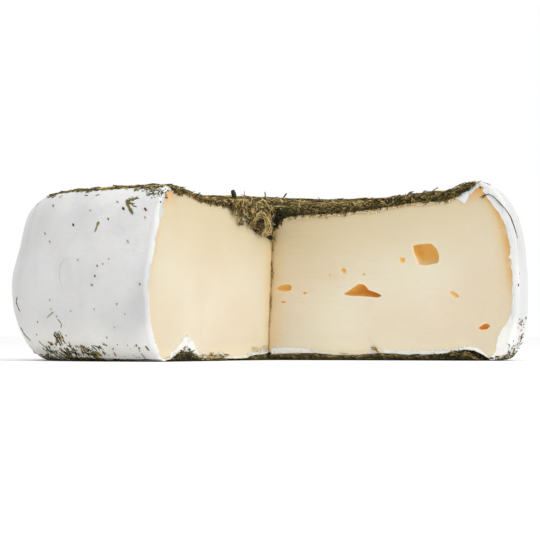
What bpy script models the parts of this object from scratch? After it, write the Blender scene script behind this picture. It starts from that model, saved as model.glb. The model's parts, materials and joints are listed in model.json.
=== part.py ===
"""A soft cheese wheel with a quarter cut out, coated with larch needles above and below.

The wheel's axis is +Z through the origin, and its flat underside lies at z = 0. The missing
quarter lies between +X and -Y, and is a little over a quarter: the left cut face is close to
the plane x = 0, and the right one leans NOTCH_SPREAD behind the plane y = 0. They meet at the
axis. All sizes are in metres.
"""

import math
import random

import bmesh
import bpy
from mathutils import Matrix, Vector, noise

# The wheel as it was moulded
BELLY_RADIUS = 0.125
BELLY_HEIGHT = 0.034
FOOT_ROUND = 0.020
SHOULDER_ROUND = 0.024
SHOULDER_SQUARENESS = 2.35
RIM_HEIGHT = 0.082
DISH_HEIGHT = 0.074
DISH_POWER = 2.6
TURN_STEPS = 60

# The coats of needles, and the clearance that keeps them off the cheese
TOP_COAT = 0.0040
BOTTOM_COAT = 0.0030
EDGE_COAT = 0.0009
CENTRE_PRESS = 0.0080
CENTRE_PRESS_RADIUS = 0.015
CLEARANCE = 0.0003
LUMP_HEIGHT = 0.0010
LUMP_SPACING = 0.013

# Where the coats end, as angles on the rounded shoulder and the rounded foot
SHOULDER_COAT_END = math.radians(80)
FOOT_COAT_END = math.radians(26)

# How the wheel has settled: its rim's height every 45 degrees, anticlockwise from +X
RIM_STATIONS = (0.0856, 0.0820, 0.0816, 0.0838, 0.0808, 0.0797, 0.0804, 0.0830)
OUT_OF_ROUND = 0.004
OUT_OF_ROUND_TURN = 0.7
FOOT_SPREAD = 0.055
FOOT_SPREAD_TOWARDS = math.radians(26)

# Dents and swellings: how much, at what distance from the axis, and how wide
RIM_DENT = (-0.0028, 0.092, 0.012)
SEAT_SWELLING = (0.0026, 0.091, 0.007)
RIGHT_PAD = (0.0026, 0.092, 0.014)
LEFT_PAD = (0.0068, 0.085, 0.008)
SOLE_WAVE = (0.0005, 0.075, 0.030)
LEFT_THINNING = 0.0017
LEFT_THIN_FROM = 0.030
SHIFT_FADES = 1.3
NEAR_A_CUT = 0.35
FAR_FROM_A_CUT = 0.5
AT_A_CUT = 0.12

# The knife cuts
NOTCH_SPREAD = math.radians(4)
CUT_REACH = 0.145
CUT_HEIGHT = 0.120
PAST_AXIS = 0.0005
CUT_DIVISIONS = 16
CUT_BULGE = 0.0016
CUT_RIPPLE = 0.0004
RIPPLES_ALONG = 95
RIPPLES_UP = 130
LEFT_PHASE = 0.4
RIGHT_PHASE = 1.9
SLIT_WIDTH = 0.0014
SLIT_DEPTH = 0.0060
SLIT_OVERRUN = 1.5

# Eyes in the right cut face: distance from the axis, height, width, depth, tallness, tilt in
# degrees, how far the tall end is drawn to one side, and how round the lower half is
EYES = (
    ("large", 0.0815, 0.0503, 0.0142, 0.0090, 0.0118, -8, -0.10, 1.0),
    ("beside_large", 0.0697, 0.0475, 0.0034, 0.0030, 0.0032, 10, 0.00, 1.0),
    ("arched", 0.0490, 0.0310, 0.0212, 0.0070, 0.0110, -8, -0.35, 0.3),
    ("above_arched", 0.0394, 0.0424, 0.0044, 0.0028, 0.0042, 0, 0.00, 1.0),
    ("pinhole", 0.0500, 0.0406, 0.0022, 0.0016, 0.0020, 0, 0.00, 1.0),
    ("by_the_axis", 0.0084, 0.0340, 0.0084, 0.0042, 0.0050, -4, 0.40, 0.4),
    ("slot_upper", 0.0190, 0.0320, 0.0030, 0.0022, 0.0017, -8, 0.00, 1.0),
    ("slot_lower", 0.0080, 0.0278, 0.0032, 0.0018, 0.0015, 0, 0.00, 1.0),
    ("shallow", 0.0956, 0.0314, 0.0056, 0.0020, 0.0031, -18, 0.00, 1.0),
    ("low_outer", 0.1100, 0.0165, 0.0064, 0.0042, 0.0034, 14, 0.15, 1.0),
)
EYE_SINK = 0.25
EYE_UNEVENNESS = 0.16

# Larch needles
NEEDLE_SIDES = 5
NEEDLE_THICKNESS = 0.0011
NEEDLE_TAPER = 0.6
NEEDLE_LENGTHS = (0.009, 0.019)
SEED = 11

# Loose needles on the top coat, which keep their distance from the cuts
TOP_NEEDLES = 58
TOP_SPREAD = 0.095
OFF_THE_CUTS = 0.004
TOP_FOOT_DEPTH = 0.0006
TOP_TIP_RISE = (0.0003, 0.0026)

# Needles that stick out over the cut faces
EDGE_NEEDLES = 16
EDGE_FROM = 0.012
EDGE_TO = 0.092
EDGE_ROOT = 0.006
EDGE_OUT = (0.0025, 0.0060)
EDGE_ASIDE = 0.005
EDGE_FOOT_DEPTH = 0.0014
EDGE_RISE = (-0.0004, 0.0045)

# Needles round the foot, and single ones on the white rind, as angles round the wheel
BOTTOM_NEEDLES = 26
BOTTOM_FROM = math.radians(6)
BOTTOM_TO = math.radians(262)
BOTTOM_START = (0.5, 0.75)
BOTTOM_LEAN = 1.1
BOTTOM_FLARE = 0.06
BOTTOM_LENGTHS = (0.006, 0.011)
RIND_NEEDLES = 22
RIND_FROM = math.radians(8)
RIND_TO = math.radians(258)
RIND_BAND = (0.020, 0.066)
RIND_LOW_BIAS = 1.6
RIND_TURN = math.radians(3.5)
RIND_CLIMB = (0.001, 0.006)
RIND_SINK = 0.0002
RIND_PROUD = 0.0004
SPRIG = ((math.radians(264.5), 0.0700, math.radians(3.4), 0.0010),
         (math.radians(264.7), 0.0690, math.radians(2.6), -0.0080))

# The clump of needles that the knife dragged over the left cut face, beside the axis
CLUMP_START = 0.0030
CLUMP_WIDTH = 0.041
CLUMP_THICKNESS = 0.0026
CLUMP_STANDOFF = 0.0026
CLUMP_BULGE = 0.0006
CLUMP_ROOT = 0.0045
CLUMP_OVER = 0.35
CLUMP_LOWEST = 0.0590
CLUMP_HEM = 0.0030
CLUMP_SLOPE = 1.4
CLUMP_GRID = (9, 8)
CLUMP_RAGGEDNESS = 0.0012
CLUMP_RAGS = 23
CLUMP_NEEDLES = 9
CLUMP_NEEDLE_START = (0.6, 0.85)
CLUMP_NEEDLE_OUT = (0.0005, 0.0035)
CLUMP_NEEDLE_ASIDE = (-0.004, 0.001)
CLUMP_NEEDLE_DROP = (0.004, 0.008)
CLUMP_NEEDLE_OFF_AXIS = 0.0020

GOLDEN_ANGLE = math.pi * (3 - math.sqrt(5))
LEFT_CUT = math.radians(270)
RIGHT_CUT = 0.0


def clear_scene():
    """Removes the start-up objects."""
    for found in list(bpy.data.objects):
        bpy.data.objects.remove(found)


def collection(name):
    """A new collection in the scene."""
    made = bpy.data.collections.new(name)
    bpy.context.scene.collection.children.link(made)
    return made


def material(name, colour, roughness):
    """A Principled material of one colour."""
    made = bpy.data.materials.new(name)
    made.use_nodes = True
    shader = made.node_tree.nodes["Principled BSDF"]
    shader.inputs["Base Color"].default_value = (*colour, 1.0)
    shader.inputs["Roughness"].default_value = roughness
    shader.inputs["Metallic"].default_value = 0.0
    return made


def new_object(name, mesh, home):
    """An object for this mesh, in this collection."""
    made = bpy.data.objects.new(name, mesh)
    home.objects.link(made)
    return made


def evaluated_mesh(obj):
    """The object's mesh as its modifiers leave it."""
    bpy.context.view_layer.update()
    graph = bpy.context.evaluated_depsgraph_get()
    return bpy.data.meshes.new_from_object(obj.evaluated_get(graph))


def apply_modifiers(obj):
    """Keeps the modified mesh as the object's own."""
    mesh = evaluated_mesh(obj)
    obj.modifiers.clear()
    obj.data = mesh


# The moulded section, from the middle of the top, over the rim and down to the foot

def dish_point(radius):
    """The coat's upper side inside the rim: a shallow dish."""
    rise = (RIM_HEIGHT - DISH_HEIGHT) * (radius / dish_radius()) ** DISH_POWER
    return Vector((radius, 0, DISH_HEIGHT + rise)), Vector((0, 0, 1))


def dish_radius():
    """The distance from the axis to the top of the rim."""
    return BELLY_RADIUS - SHOULDER_ROUND


def shoulder_point(angle):
    """A point of the squarish shoulder, and the way out: 90 degrees is the rim, 0 the belly."""
    tall = RIM_HEIGHT - BELLY_HEIGHT
    bend = 2 / SHOULDER_SQUARENESS
    across, up = math.cos(angle) ** bend, math.sin(angle) ** bend
    point = Vector((dish_radius() + SHOULDER_ROUND * across, 0, BELLY_HEIGHT + tall * up))
    steep = SHOULDER_SQUARENESS - 1
    out = Vector((across ** steep / SHOULDER_ROUND, 0, up ** steep / tall))
    return point, out.normalized()


def foot_point(angle):
    """A point of the rounded foot, and the way out: 0 is the underside, 90 degrees the belly."""
    start = BELLY_RADIUS - FOOT_ROUND
    point = Vector((
        start + FOOT_ROUND * math.sin(angle), 0, BELLY_HEIGHT * (1 - math.cos(angle)),
    ))
    out = Vector((math.sin(angle) / FOOT_ROUND, 0, -math.cos(angle) / BELLY_HEIGHT))
    return point, out.normalized()


def top_depth(radius):
    """How deep the top coat lies in the dish: deepest at the axis."""
    return TOP_COAT + CENTRE_PRESS * math.exp(-((radius / CENTRE_PRESS_RADIUS) ** 2))


def top_stations():
    """The cheese's top under the coat: point, way out and coat thickness, axis to coat edge."""
    found = []
    for share in (0.0, 0.06, 0.13, 0.22, 0.33, 0.45, 0.57, 0.68, 0.78, 0.87, 0.94, 1.0):
        point, out = dish_point(share * dish_radius())
        depth = top_depth(point.x)
        found.append((point - out * (depth + CLEARANCE), out, depth))
    rim, end = math.radians(90), SHOULDER_COAT_END
    for share in (0.35, 0.7, 1.0):
        point, out = shoulder_point(rim + (end - rim) * share)
        depth = (TOP_COAT + CLEARANCE) * (1 - share)
        found.append((point - out * depth, out, max(EDGE_COAT, TOP_COAT * (1 - share))))
    return found


def foot_stations():
    """The same for the underside, from the coat's edge on the foot to the axis."""
    found = []
    for share in (1.0, 0.7, 0.35):
        point, out = foot_point(FOOT_COAT_END * share)
        depth = (BOTTOM_COAT + CLEARANCE) * (1 - share)
        found.append((point - out * depth, out, max(EDGE_COAT, BOTTOM_COAT * (1 - share))))
    start = BELLY_RADIUS - FOOT_ROUND
    down = Vector((0, 0, -1))
    for share in (1.0, 0.9, 0.78, 0.62, 0.42, 0.2, 0.0):
        point = Vector((share * start, 0, BOTTOM_COAT + CLEARANCE))
        found.append((point, down, BOTTOM_COAT))
    return found


def wall_points():
    """The bare rind between the two coats, from the shoulder down to the foot."""
    upper = [shoulder_point(SHOULDER_COAT_END * share)[0] for share in (0.86, 0.7, 0.52, 0.34, 0.16)]
    lower = [foot_point(FOOT_COAT_END + (math.radians(90) - FOOT_COAT_END) * share)[0]
             for share in (1.0, 0.72, 0.46, 0.22)]
    return upper + lower


def cheese_profile():
    """The closed section of the cheese alone, top to bottom."""
    top = [point for point, _, _ in top_stations()]
    foot = [point for point, _, _ in foot_stations()]
    return top + wall_points() + foot


def coat_sides(stations):
    """The two sides of a coat that lies on these stations: against the cheese, and outside."""
    against_cheese = [point + out * CLEARANCE for point, out, _ in stations]
    outside = [point + out * (CLEARANCE + thick) for point, out, thick in stations]
    return against_cheese, outside


# The wheel as it has settled on the table

def rim_height(angle):
    """The rim's height at this angle round the wheel, eased between the measured stations."""
    step = 2 * math.pi / len(RIM_STATIONS)
    place = (angle % (2 * math.pi)) / step
    low = int(place) % len(RIM_STATIONS)
    high = (low + 1) % len(RIM_STATIONS)
    share = (1 - math.cos((place - int(place)) * math.pi)) / 2
    return RIM_STATIONS[low] * (1 - share) + RIM_STATIONS[high] * share


def window(value, centre, width):
    """A smooth bump, 1 at the centre and near 0 past the width."""
    return math.exp(-(((value - centre) / width) ** 2))


def angle_from(angle, centre):
    """The turn between two directions, in radians, from -pi to pi."""
    return (angle - centre + math.pi) % (2 * math.pi) - math.pi


def near_cut(angle, cut_angle, reach):
    """1 at this cut face and near 0 past the reach, in radians round the wheel."""
    return window(angle_from(angle, cut_angle), 0, reach)


def swelling(radius, sizes):
    """How high a swelling of these sizes stands at this distance from the axis."""
    height, centre, width = sizes
    return height * window(radius, centre, width)


def rim_dent(radius, angle):
    """The hollow just inside the raised corner of the right cut face."""
    return swelling(radius, RIM_DENT) * near_cut(angle, RIGHT_CUT, NEAR_A_CUT)


def seat_shift(radius, angle):
    """How far the top of the cheese, under its coat, lies above its moulded place."""
    return swelling(radius, SEAT_SWELLING) * near_cut(angle, LEFT_CUT, NEAR_A_CUT)


def sole_shift(radius, angle):
    """The same for the underside, where needles have pushed up into the soft rind."""
    right = swelling(radius, RIGHT_PAD) * near_cut(angle, RIGHT_CUT, FAR_FROM_A_CUT)
    left = swelling(radius, LEFT_PAD) * near_cut(angle, LEFT_CUT, AT_A_CUT)
    thinner = LEFT_THINNING * near_cut(angle, LEFT_CUT, FAR_FROM_A_CUT)
    wave = swelling(radius, SOLE_WAVE) * math.sin(5 * angle)
    return right + left - thinner * min(1.0, radius / LEFT_THIN_FROM) + wave


def coated_height(radius):
    """The moulded height of the cheese's top, and the coat's thickness on it."""
    radius = min(radius, dish_radius())
    point, _ = dish_point(radius)
    depth = top_depth(radius)
    return point.z - depth - CLEARANCE, depth


def settled(point, lumps=0.0):
    """The place to which a moulded point has sunk or been pushed."""
    radius = math.hypot(point.x, point.y)
    angle = math.atan2(point.y, point.x)
    height = point.z
    inside = min(1.0, radius / dish_radius())

    if height > BELLY_HEIGHT:
        seat, thick = coated_height(radius)
        share = min(1.0, (height - BELLY_HEIGHT) / (seat - BELLY_HEIGHT))
        height += share * (rim_height(angle) - RIM_HEIGHT) * inside ** 2
        height += share * rim_dent(radius, angle)
        above = (point.z - seat - CLEARANCE) / thick
        height += seat_shift(radius, angle) * min(1.0, max(0.0, 1 - above))
        if lumps and above > 0.5 and radius < dish_radius() - TOP_COAT:
            height += lumps * noise.noise(Vector((point.x, point.y, 0.0)) / LUMP_SPACING)
    elif radius < BELLY_RADIUS - FOOT_ROUND * 0.6:
        fading = SHIFT_FADES * (1 - point.z / BOTTOM_COAT)
        height += sole_shift(radius, angle) * min(1.0, max(0.0, 1 - fading))

    spread = 1 + OUT_OF_ROUND * math.cos(2 * angle + OUT_OF_ROUND_TURN) * inside
    towards = max(0.0, math.cos(angle_from(angle, FOOT_SPREAD_TOWARDS)))
    spread += FOOT_SPREAD * towards * max(0.0, 1 - point.z / BELLY_HEIGHT) ** 2
    return Vector((point.x * spread, point.y * spread, height))


def turned(name, outline, home):
    """A section turned about +Z by a Screw modifier, and kept as a mesh."""
    mesh = bpy.data.meshes.new(name)
    mesh.from_pydata(outline, [(i, i + 1) for i in range(len(outline) - 1)], [])
    made = new_object(name, mesh, home)
    made.rotation_euler.z = math.pi / TURN_STEPS
    screw = made.modifiers.new("turn", "SCREW")
    screw.axis = "Z"
    screw.angle = 2 * math.pi
    screw.steps = TURN_STEPS
    screw.render_steps = TURN_STEPS
    screw.use_merge_vertices = True
    screw.merge_threshold = 0.00001
    screw.use_smooth_shade = False
    apply_modifiers(made)
    made.data.transform(Matrix.Rotation(made.rotation_euler.z, 4, "Z"))
    made.rotation_euler.z = 0
    return made


def settle(obj, lumps=0.0):
    """Moves every point of a turned piece to its settled place.

    The bent quads are split along their shorter diagonal, in the cheese and in the coats alike,
    so that facing sides stay the clearance apart.
    """
    shape = bmesh.new()
    shape.from_mesh(obj.data)
    for vertex in shape.verts:
        vertex.co = settled(vertex.co, lumps)
    bmesh.ops.triangulate(shape, faces=shape.faces, quad_method="SHORT_EDGE")
    shape.to_mesh(obj.data)
    shape.free()


def face_out(obj):
    """Turns every face outwards."""
    shape = bmesh.new()
    shape.from_mesh(obj.data)
    bmesh.ops.recalc_face_normals(shape, faces=shape.faces)
    shape.to_mesh(obj.data)
    shape.free()


# Cutters

def hide_cutter(obj):
    """Cutters guide the eye in the viewport and stay out of the render."""
    obj.hide_render = True
    obj.display_type = "WIRE"


def cut_face_offset(along, height, phase):
    """How far a cut face stands out from its plane, at this distance from the axis."""
    across = math.sin(math.pi * min(1.0, along / BELLY_RADIUS))
    up = math.sin(math.pi * min(1.0, max(0.0, height / RIM_HEIGHT)))
    ripple = math.sin(along * RIPPLES_ALONG + phase) * math.sin(height * RIPPLES_UP + 2 * phase)
    return CUT_BULGE * across * up + CUT_RIPPLE * ripple * across


def notch_cutter(home):
    """The quarter that the knife took out: a block whose two inner faces are slightly hollow."""
    shape = bmesh.new()
    bmesh.ops.create_cube(shape, size=1.0)
    bmesh.ops.subdivide_edges(shape, edges=shape.edges, cuts=CUT_DIVISIONS, use_grid_fill=True)
    for vertex in shape.verts:
        x = (vertex.co.x + 0.5) * CUT_REACH
        y = (vertex.co.y - 0.5) * CUT_REACH
        z = (vertex.co.z + 0.5) * CUT_HEIGHT - (CUT_HEIGHT - RIM_HEIGHT) / 2
        on_left_face = vertex.co.x < -0.499
        on_right_face = vertex.co.y > 0.499
        if on_left_face:
            x += cut_face_offset(-y, z, LEFT_PHASE)
        if on_right_face:
            y -= cut_face_offset(x, z, RIGHT_PHASE)
        y += x * math.tan(NOTCH_SPREAD) * (1 + y / CUT_REACH)
        vertex.co = Vector((x - PAST_AXIS, y + PAST_AXIS, z))
    mesh = bpy.data.meshes.new("notch_cutter")
    shape.to_mesh(mesh)
    shape.free()
    made = new_object("notch_cutter", mesh, home)
    hide_cutter(made)
    return made


def slit_cutter(home):
    """The thin slit where the knife of the left cut ran on past the axis."""
    shape = bmesh.new()
    bmesh.ops.create_cone(
        shape, cap_ends=True, segments=3, radius1=1.0, radius2=1.0, depth=CUT_HEIGHT,
    )
    for vertex in shape.verts:
        ahead = vertex.co.y > 0.5
        y = SLIT_DEPTH if ahead else SLIT_DEPTH * (1 - SLIT_OVERRUN)
        x = 0.0 if ahead else math.copysign(SLIT_WIDTH / 2 * SLIT_OVERRUN, vertex.co.x)
        vertex.co = Vector((x, y, vertex.co.z + RIM_HEIGHT / 2))
    bmesh.ops.recalc_face_normals(shape, faces=shape.faces)
    mesh = bpy.data.meshes.new("slit_cutter")
    shape.to_mesh(mesh)
    shape.free()
    made = new_object("slit_cutter", mesh, home)
    hide_cutter(made)
    return made


def eye_cutter(name, along, height, wide, deep, tall, tilt, drawn, belly, home):
    """One eye: a ball pressed out of round, sunk behind the right cut face."""
    shape = bmesh.new()
    bmesh.ops.create_icosphere(shape, subdivisions=2, radius=0.5)
    turn = Matrix.Rotation(math.radians(tilt), 3, "Y")
    swing = Matrix.Rotation(NOTCH_SPREAD, 3, "Z")
    face = -cut_face_offset(along, height, RIGHT_PHASE)
    own_noise = Vector((along, height, 0)) * 900
    for vertex in shape.verts:
        place = vertex.co.copy()
        uneven = 1 + EYE_UNEVENNESS * noise.noise(place * 2.6 + own_noise)
        lift = (1 + drawn * place.x * 2) * (1.0 if place.z > 0 else belly)
        place = Vector((place.x * wide, place.y * deep * 2, place.z * tall * lift)) * uneven
        vertex.co = swing @ (turn @ place + Vector((along, face + deep * EYE_SINK, height)))
    mesh = bpy.data.meshes.new("eye_" + name)
    shape.to_mesh(mesh)
    shape.free()
    made = new_object("eye_" + name, mesh, home)
    hide_cutter(made)
    return made


def cut(obj, operand, operation="DIFFERENCE"):
    """A live Boolean with another object, or with every object of a collection."""
    boolean = obj.modifiers.new("cut", "BOOLEAN")
    boolean.operation = operation
    boolean.solver = "EXACT"
    if isinstance(operand, bpy.types.Collection):
        boolean.operand_type = "COLLECTION"
        boolean.collection = operand
    else:
        boolean.object = operand
    return boolean


# Needles

def needle(name, foot, tip, home, thickness=NEEDLE_THICKNESS):
    """A larch needle: a thin tapering rod from its foot to its tip."""
    shape = bmesh.new()
    along = tip - foot
    bmesh.ops.create_cone(
        shape, cap_ends=True, segments=NEEDLE_SIDES,
        radius1=thickness / 2, radius2=thickness / 2 * NEEDLE_TAPER, depth=along.length,
    )
    turn = along.to_track_quat("Z", "Y").to_matrix().to_4x4()
    bmesh.ops.transform(
        shape, verts=shape.verts, matrix=Matrix.Translation((foot + tip) / 2) @ turn,
    )
    mesh = bpy.data.meshes.new(name)
    shape.to_mesh(mesh)
    shape.free()
    return new_object(name, mesh, home)


def fuse(obj, pieces):
    """Joins every object of this collection to the piece, and removes them."""
    cut(obj, pieces, "UNION").solver = "MANIFOLD"
    apply_modifiers(obj)
    for piece in list(pieces.objects):
        bpy.data.objects.remove(piece)
    bpy.data.collections.remove(pieces)
    face_out(obj)


def coat_height(x, y):
    """The height of the top coat's upper side at this place."""
    point, _ = dish_point(min(math.hypot(x, y), dish_radius()))
    return settled(Vector((x, y, point.z)), LUMP_HEIGHT).z


def in_wheel(x, y, margin=0.0):
    """Whether this place lies over the cheese and not over the notch."""
    behind_right_face = y - x * math.tan(NOTCH_SPREAD) > margin
    return x < -margin or behind_right_face


def scatter_top_needles(draw, home):
    """Needles lying on the top coat, spread by the golden angle."""
    for i in range(TOP_NEEDLES):
        radius = TOP_SPREAD * math.sqrt((i + 0.5) / TOP_NEEDLES)
        angle = i * GOLDEN_ANGLE
        middle = Vector((math.cos(angle), math.sin(angle), 0)) * radius
        heading = draw.uniform(0, 2 * math.pi)
        half = draw.uniform(*NEEDLE_LENGTHS) / 2
        step = Vector((math.cos(heading), math.sin(heading), 0)) * half
        foot, tip = middle - step, middle + step
        if not all(in_wheel(place.x, place.y, OFF_THE_CUTS) for place in (foot, middle, tip)):
            continue
        foot.z = coat_height(foot.x, foot.y) - TOP_FOOT_DEPTH
        tip.z = coat_height(tip.x, tip.y) + draw.uniform(*TOP_TIP_RISE)
        needle(f"top_needle_{i}", foot, tip, home)


def scatter_edge_needles(draw, home):
    """Needles that stick out of the coat where it was cut, over both cut faces in turn."""
    pairs = EDGE_NEEDLES / 2
    for i in range(EDGE_NEEDLES):
        along = EDGE_FROM + (EDGE_TO - EDGE_FROM) * ((i // 2) + draw.uniform(0.2, 0.8)) / pairs
        out = draw.uniform(*EDGE_OUT)
        aside = draw.uniform(-EDGE_ASIDE, EDGE_ASIDE)
        if i % 2 == 0:
            foot = Vector((-EDGE_ROOT, -along, 0))
            tip = Vector((out, -along - aside, 0))
        else:
            swing = Matrix.Rotation(NOTCH_SPREAD, 3, "Z")
            foot = swing @ Vector((along, EDGE_ROOT, 0))
            tip = swing @ Vector((along + aside, -out, 0))
        foot.z = coat_height(foot.x, foot.y) - EDGE_FOOT_DEPTH
        tip.z = foot.z + draw.uniform(*EDGE_RISE)
        needle(f"edge_needle_{i}", foot, tip, home)


def clump_point(across, down):
    """A place on the clump's middle surface: across along the left face, and down over it.

    The first part of the way lies inside the coat, and the rest hangs in front of the cheese.
    """
    y = -CLUMP_START - CLUMP_WIDTH * across
    seat, _ = coated_height(math.hypot(CLUMP_ROOT, y))
    top = seat + CLEARANCE * 3 + CLUMP_THICKNESS / 2
    low = CLUMP_LOWEST + (top - CLUMP_HEM - CLUMP_LOWEST) * across ** CLUMP_SLOPE
    if down < CLUMP_OVER:
        x = -CLUMP_ROOT + (CLUMP_ROOT + CLUMP_STANDOFF) * down / CLUMP_OVER
        return Vector((x, y, top))
    share = (down - CLUMP_OVER) / (1 - CLUMP_OVER)
    x = CLUMP_STANDOFF + CLUMP_BULGE * math.sin(share * math.pi)
    return Vector((x, y, top + (low - top) * share))


def clump(home):
    """The flap of matted needles, as a bent sheet with Solidify."""
    shape = bmesh.new()
    bmesh.ops.create_grid(shape, x_segments=CLUMP_GRID[0], y_segments=CLUMP_GRID[1], size=0.5)
    for vertex in shape.verts:
        across, down = vertex.co.x + 0.5, vertex.co.y + 0.5
        place = clump_point(across, down)
        if down > CLUMP_OVER:
            place.z += CLUMP_RAGGEDNESS * math.sin(across * CLUMP_RAGS) * down
        vertex.co = place
    mesh = bpy.data.meshes.new("clump")
    shape.to_mesh(mesh)
    shape.free()
    made = new_object("clump", mesh, home)
    thick = made.modifiers.new("thickness", "SOLIDIFY")
    thick.thickness = CLUMP_THICKNESS
    thick.offset = 0.0
    apply_modifiers(made)
    face_out(made)


def hang_clump_needles(draw, home):
    """Needles that stick out of the clump, down and into the notch."""
    for i in range(CLUMP_NEEDLES):
        across = (i + 0.5) / CLUMP_NEEDLES
        foot = clump_point(across, draw.uniform(*CLUMP_NEEDLE_START))
        tip = foot + Vector((
            draw.uniform(*CLUMP_NEEDLE_OUT),
            draw.uniform(*CLUMP_NEEDLE_ASIDE),
            -draw.uniform(*CLUMP_NEEDLE_DROP),
        ))
        tip.y = min(tip.y, -CLUMP_NEEDLE_OFF_AXIS)
        needle(f"clump_needle_{i}", foot, tip, home)


def scatter_bottom_needles(draw, home):
    """Needles at the edge of the bottom coat, standing along the wheel's rounded foot.

    The foot is convex, so a needle that starts in the coat and runs along the tangent there
    passes clear of the cheese.
    """
    round_wheel = Vector((0, 1, 0))
    for i in range(BOTTOM_NEEDLES):
        share = (i + draw.uniform(0.1, 0.9)) / BOTTOM_NEEDLES
        turn = Matrix.Rotation(BOTTOM_FROM + (BOTTOM_TO - BOTTOM_FROM) * share, 3, "Z")
        point, out = foot_point(FOOT_COAT_END * draw.uniform(*BOTTOM_START))
        climb = Vector((-out.z, 0, out.x))
        lean = draw.uniform(-BOTTOM_LEAN, BOTTOM_LEAN)
        heading = climb * math.cos(lean) + round_wheel * math.sin(lean) + out * BOTTOM_FLARE
        foot = point + out * CLEARANCE
        tip = foot + heading * draw.uniform(*BOTTOM_LENGTHS)
        needle(f"bottom_needle_{i}", settled(turn @ foot), settled(turn @ tip), home)


def wall_place(angle, height, proud=0.0):
    """A place on the bare rind at this angle and moulded height."""
    if height > BELLY_HEIGHT:
        lift = (height - BELLY_HEIGHT) / (RIM_HEIGHT - BELLY_HEIGHT)
        point, out = shoulder_point(math.asin(min(1.0, lift) ** (SHOULDER_SQUARENESS / 2)))
    else:
        point, out = foot_point(math.acos(max(-1.0, 1 - height / BELLY_HEIGHT)))
    return settled(Matrix.Rotation(angle, 3, "Z") @ (point + out * proud))


def rind_needle(name, angle, height, turn, climb, home):
    """A needle lying on the rind, from this place round by turn and up by climb."""
    foot = wall_place(angle, height, -RIND_SINK)
    tip = wall_place(angle + turn, height + climb, RIND_PROUD)
    needle(name, foot, tip, home)


def scatter_rind_needles(draw, home):
    """A forked sprig on the white rind, and single needles, most of them low down."""
    for i, sizes in enumerate(SPRIG):
        rind_needle(f"sprig_{i}", *sizes, home)
    low, high = RIND_BAND
    for i in range(RIND_NEEDLES):
        share = (i + draw.uniform(0.1, 0.9)) / RIND_NEEDLES
        angle = RIND_FROM + (RIND_TO - RIND_FROM) * share
        height = low + (high - low) * draw.random() ** RIND_LOW_BIAS
        turn = draw.uniform(-RIND_TURN, RIND_TURN)
        rind_needle(f"rind_needle_{i}", angle, height, turn, draw.uniform(*RIND_CLIMB), home)


# The three pieces

def make_cheese(parts, notch, slit, eyes):
    """The paste and its rind: one solid, with the quarter and the eyes cut out of it."""
    cheese = turned("cheese", cheese_profile(), parts)
    settle(cheese)
    face_out(cheese)
    for cutter in (notch, slit, eyes):
        cut(cheese, cutter)
    apply_modifiers(cheese)
    face_out(cheese)
    pieces = collection("rind_needles")
    scatter_rind_needles(random.Random(SEED), pieces)
    fuse(cheese, pieces)
    cheese.data.materials.append(material("white_rind_and_paste", (0.86, 0.75, 0.54), 0.55))


def make_coat(name, outline, parts, notch, lumps=0.0):
    """A coat of needles with this section, cut with the cheese."""
    coat = turned(name, outline, parts)
    settle(coat, lumps)
    face_out(coat)
    cut(coat, notch)
    apply_modifiers(coat)
    face_out(coat)
    return coat


def make_top_coat(parts, notch):
    """The thick mat of needles in the dish, with its loose ends and the clump by the axis."""
    under, over = coat_sides(top_stations())
    coat = make_coat("needle_coat_top", over + under[::-1], parts, notch, LUMP_HEIGHT)
    draw = random.Random(SEED + 1)
    pieces = collection("top_needles")
    clump(pieces)
    scatter_top_needles(draw, pieces)
    scatter_edge_needles(draw, pieces)
    hang_clump_needles(draw, pieces)
    fuse(coat, pieces)
    coat.data.materials.append(material("needles_top", (0.15, 0.13, 0.05), 0.8))


def make_bottom_coat(parts, notch):
    """The flat mat of needles that the wheel stands on."""
    against_cheese, outside = coat_sides(foot_stations())
    coat = make_coat("needle_coat_bottom", against_cheese[::-1] + outside, parts, notch)
    pieces = collection("bottom_needles")
    scatter_bottom_needles(random.Random(SEED + 2), pieces)
    fuse(coat, pieces)
    coat.data.materials.append(material("needles_bottom", (0.08, 0.07, 0.03), 0.8))


def main():
    """Makes the cutters, then the cheese and its two coats."""
    clear_scene()
    parts = collection("larch_needle_cheese")
    cutters = collection("cutters")
    eyes = collection("eyes")
    notch = notch_cutter(cutters)
    slit = slit_cutter(cutters)
    for name, *sizes in EYES:
        eye_cutter(name, *sizes, eyes)
    make_cheese(parts, notch, slit, eyes)
    make_top_coat(parts, notch)
    make_bottom_coat(parts, notch)


main()
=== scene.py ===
# %% [markdown]
# # A wheel of soft cheese in larch needles
#
# The real cheese is a squat wheel, about 25 cm across, with a soft white mould rind. It ripened
# between two beds of chopped larch needles, which still coat its top and its underside, and a quarter
# has been cut out of it. A solid model gives every size. This lesson dresses that model: each cell
# makes one thing that the eye sees, in the order in which a maker would build it up.

# %% Load the solid model
import json
import math

import bmesh
import bpy
import numpy as np
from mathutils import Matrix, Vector, noise
from mathutils.bvhtree import BVHTree

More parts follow.
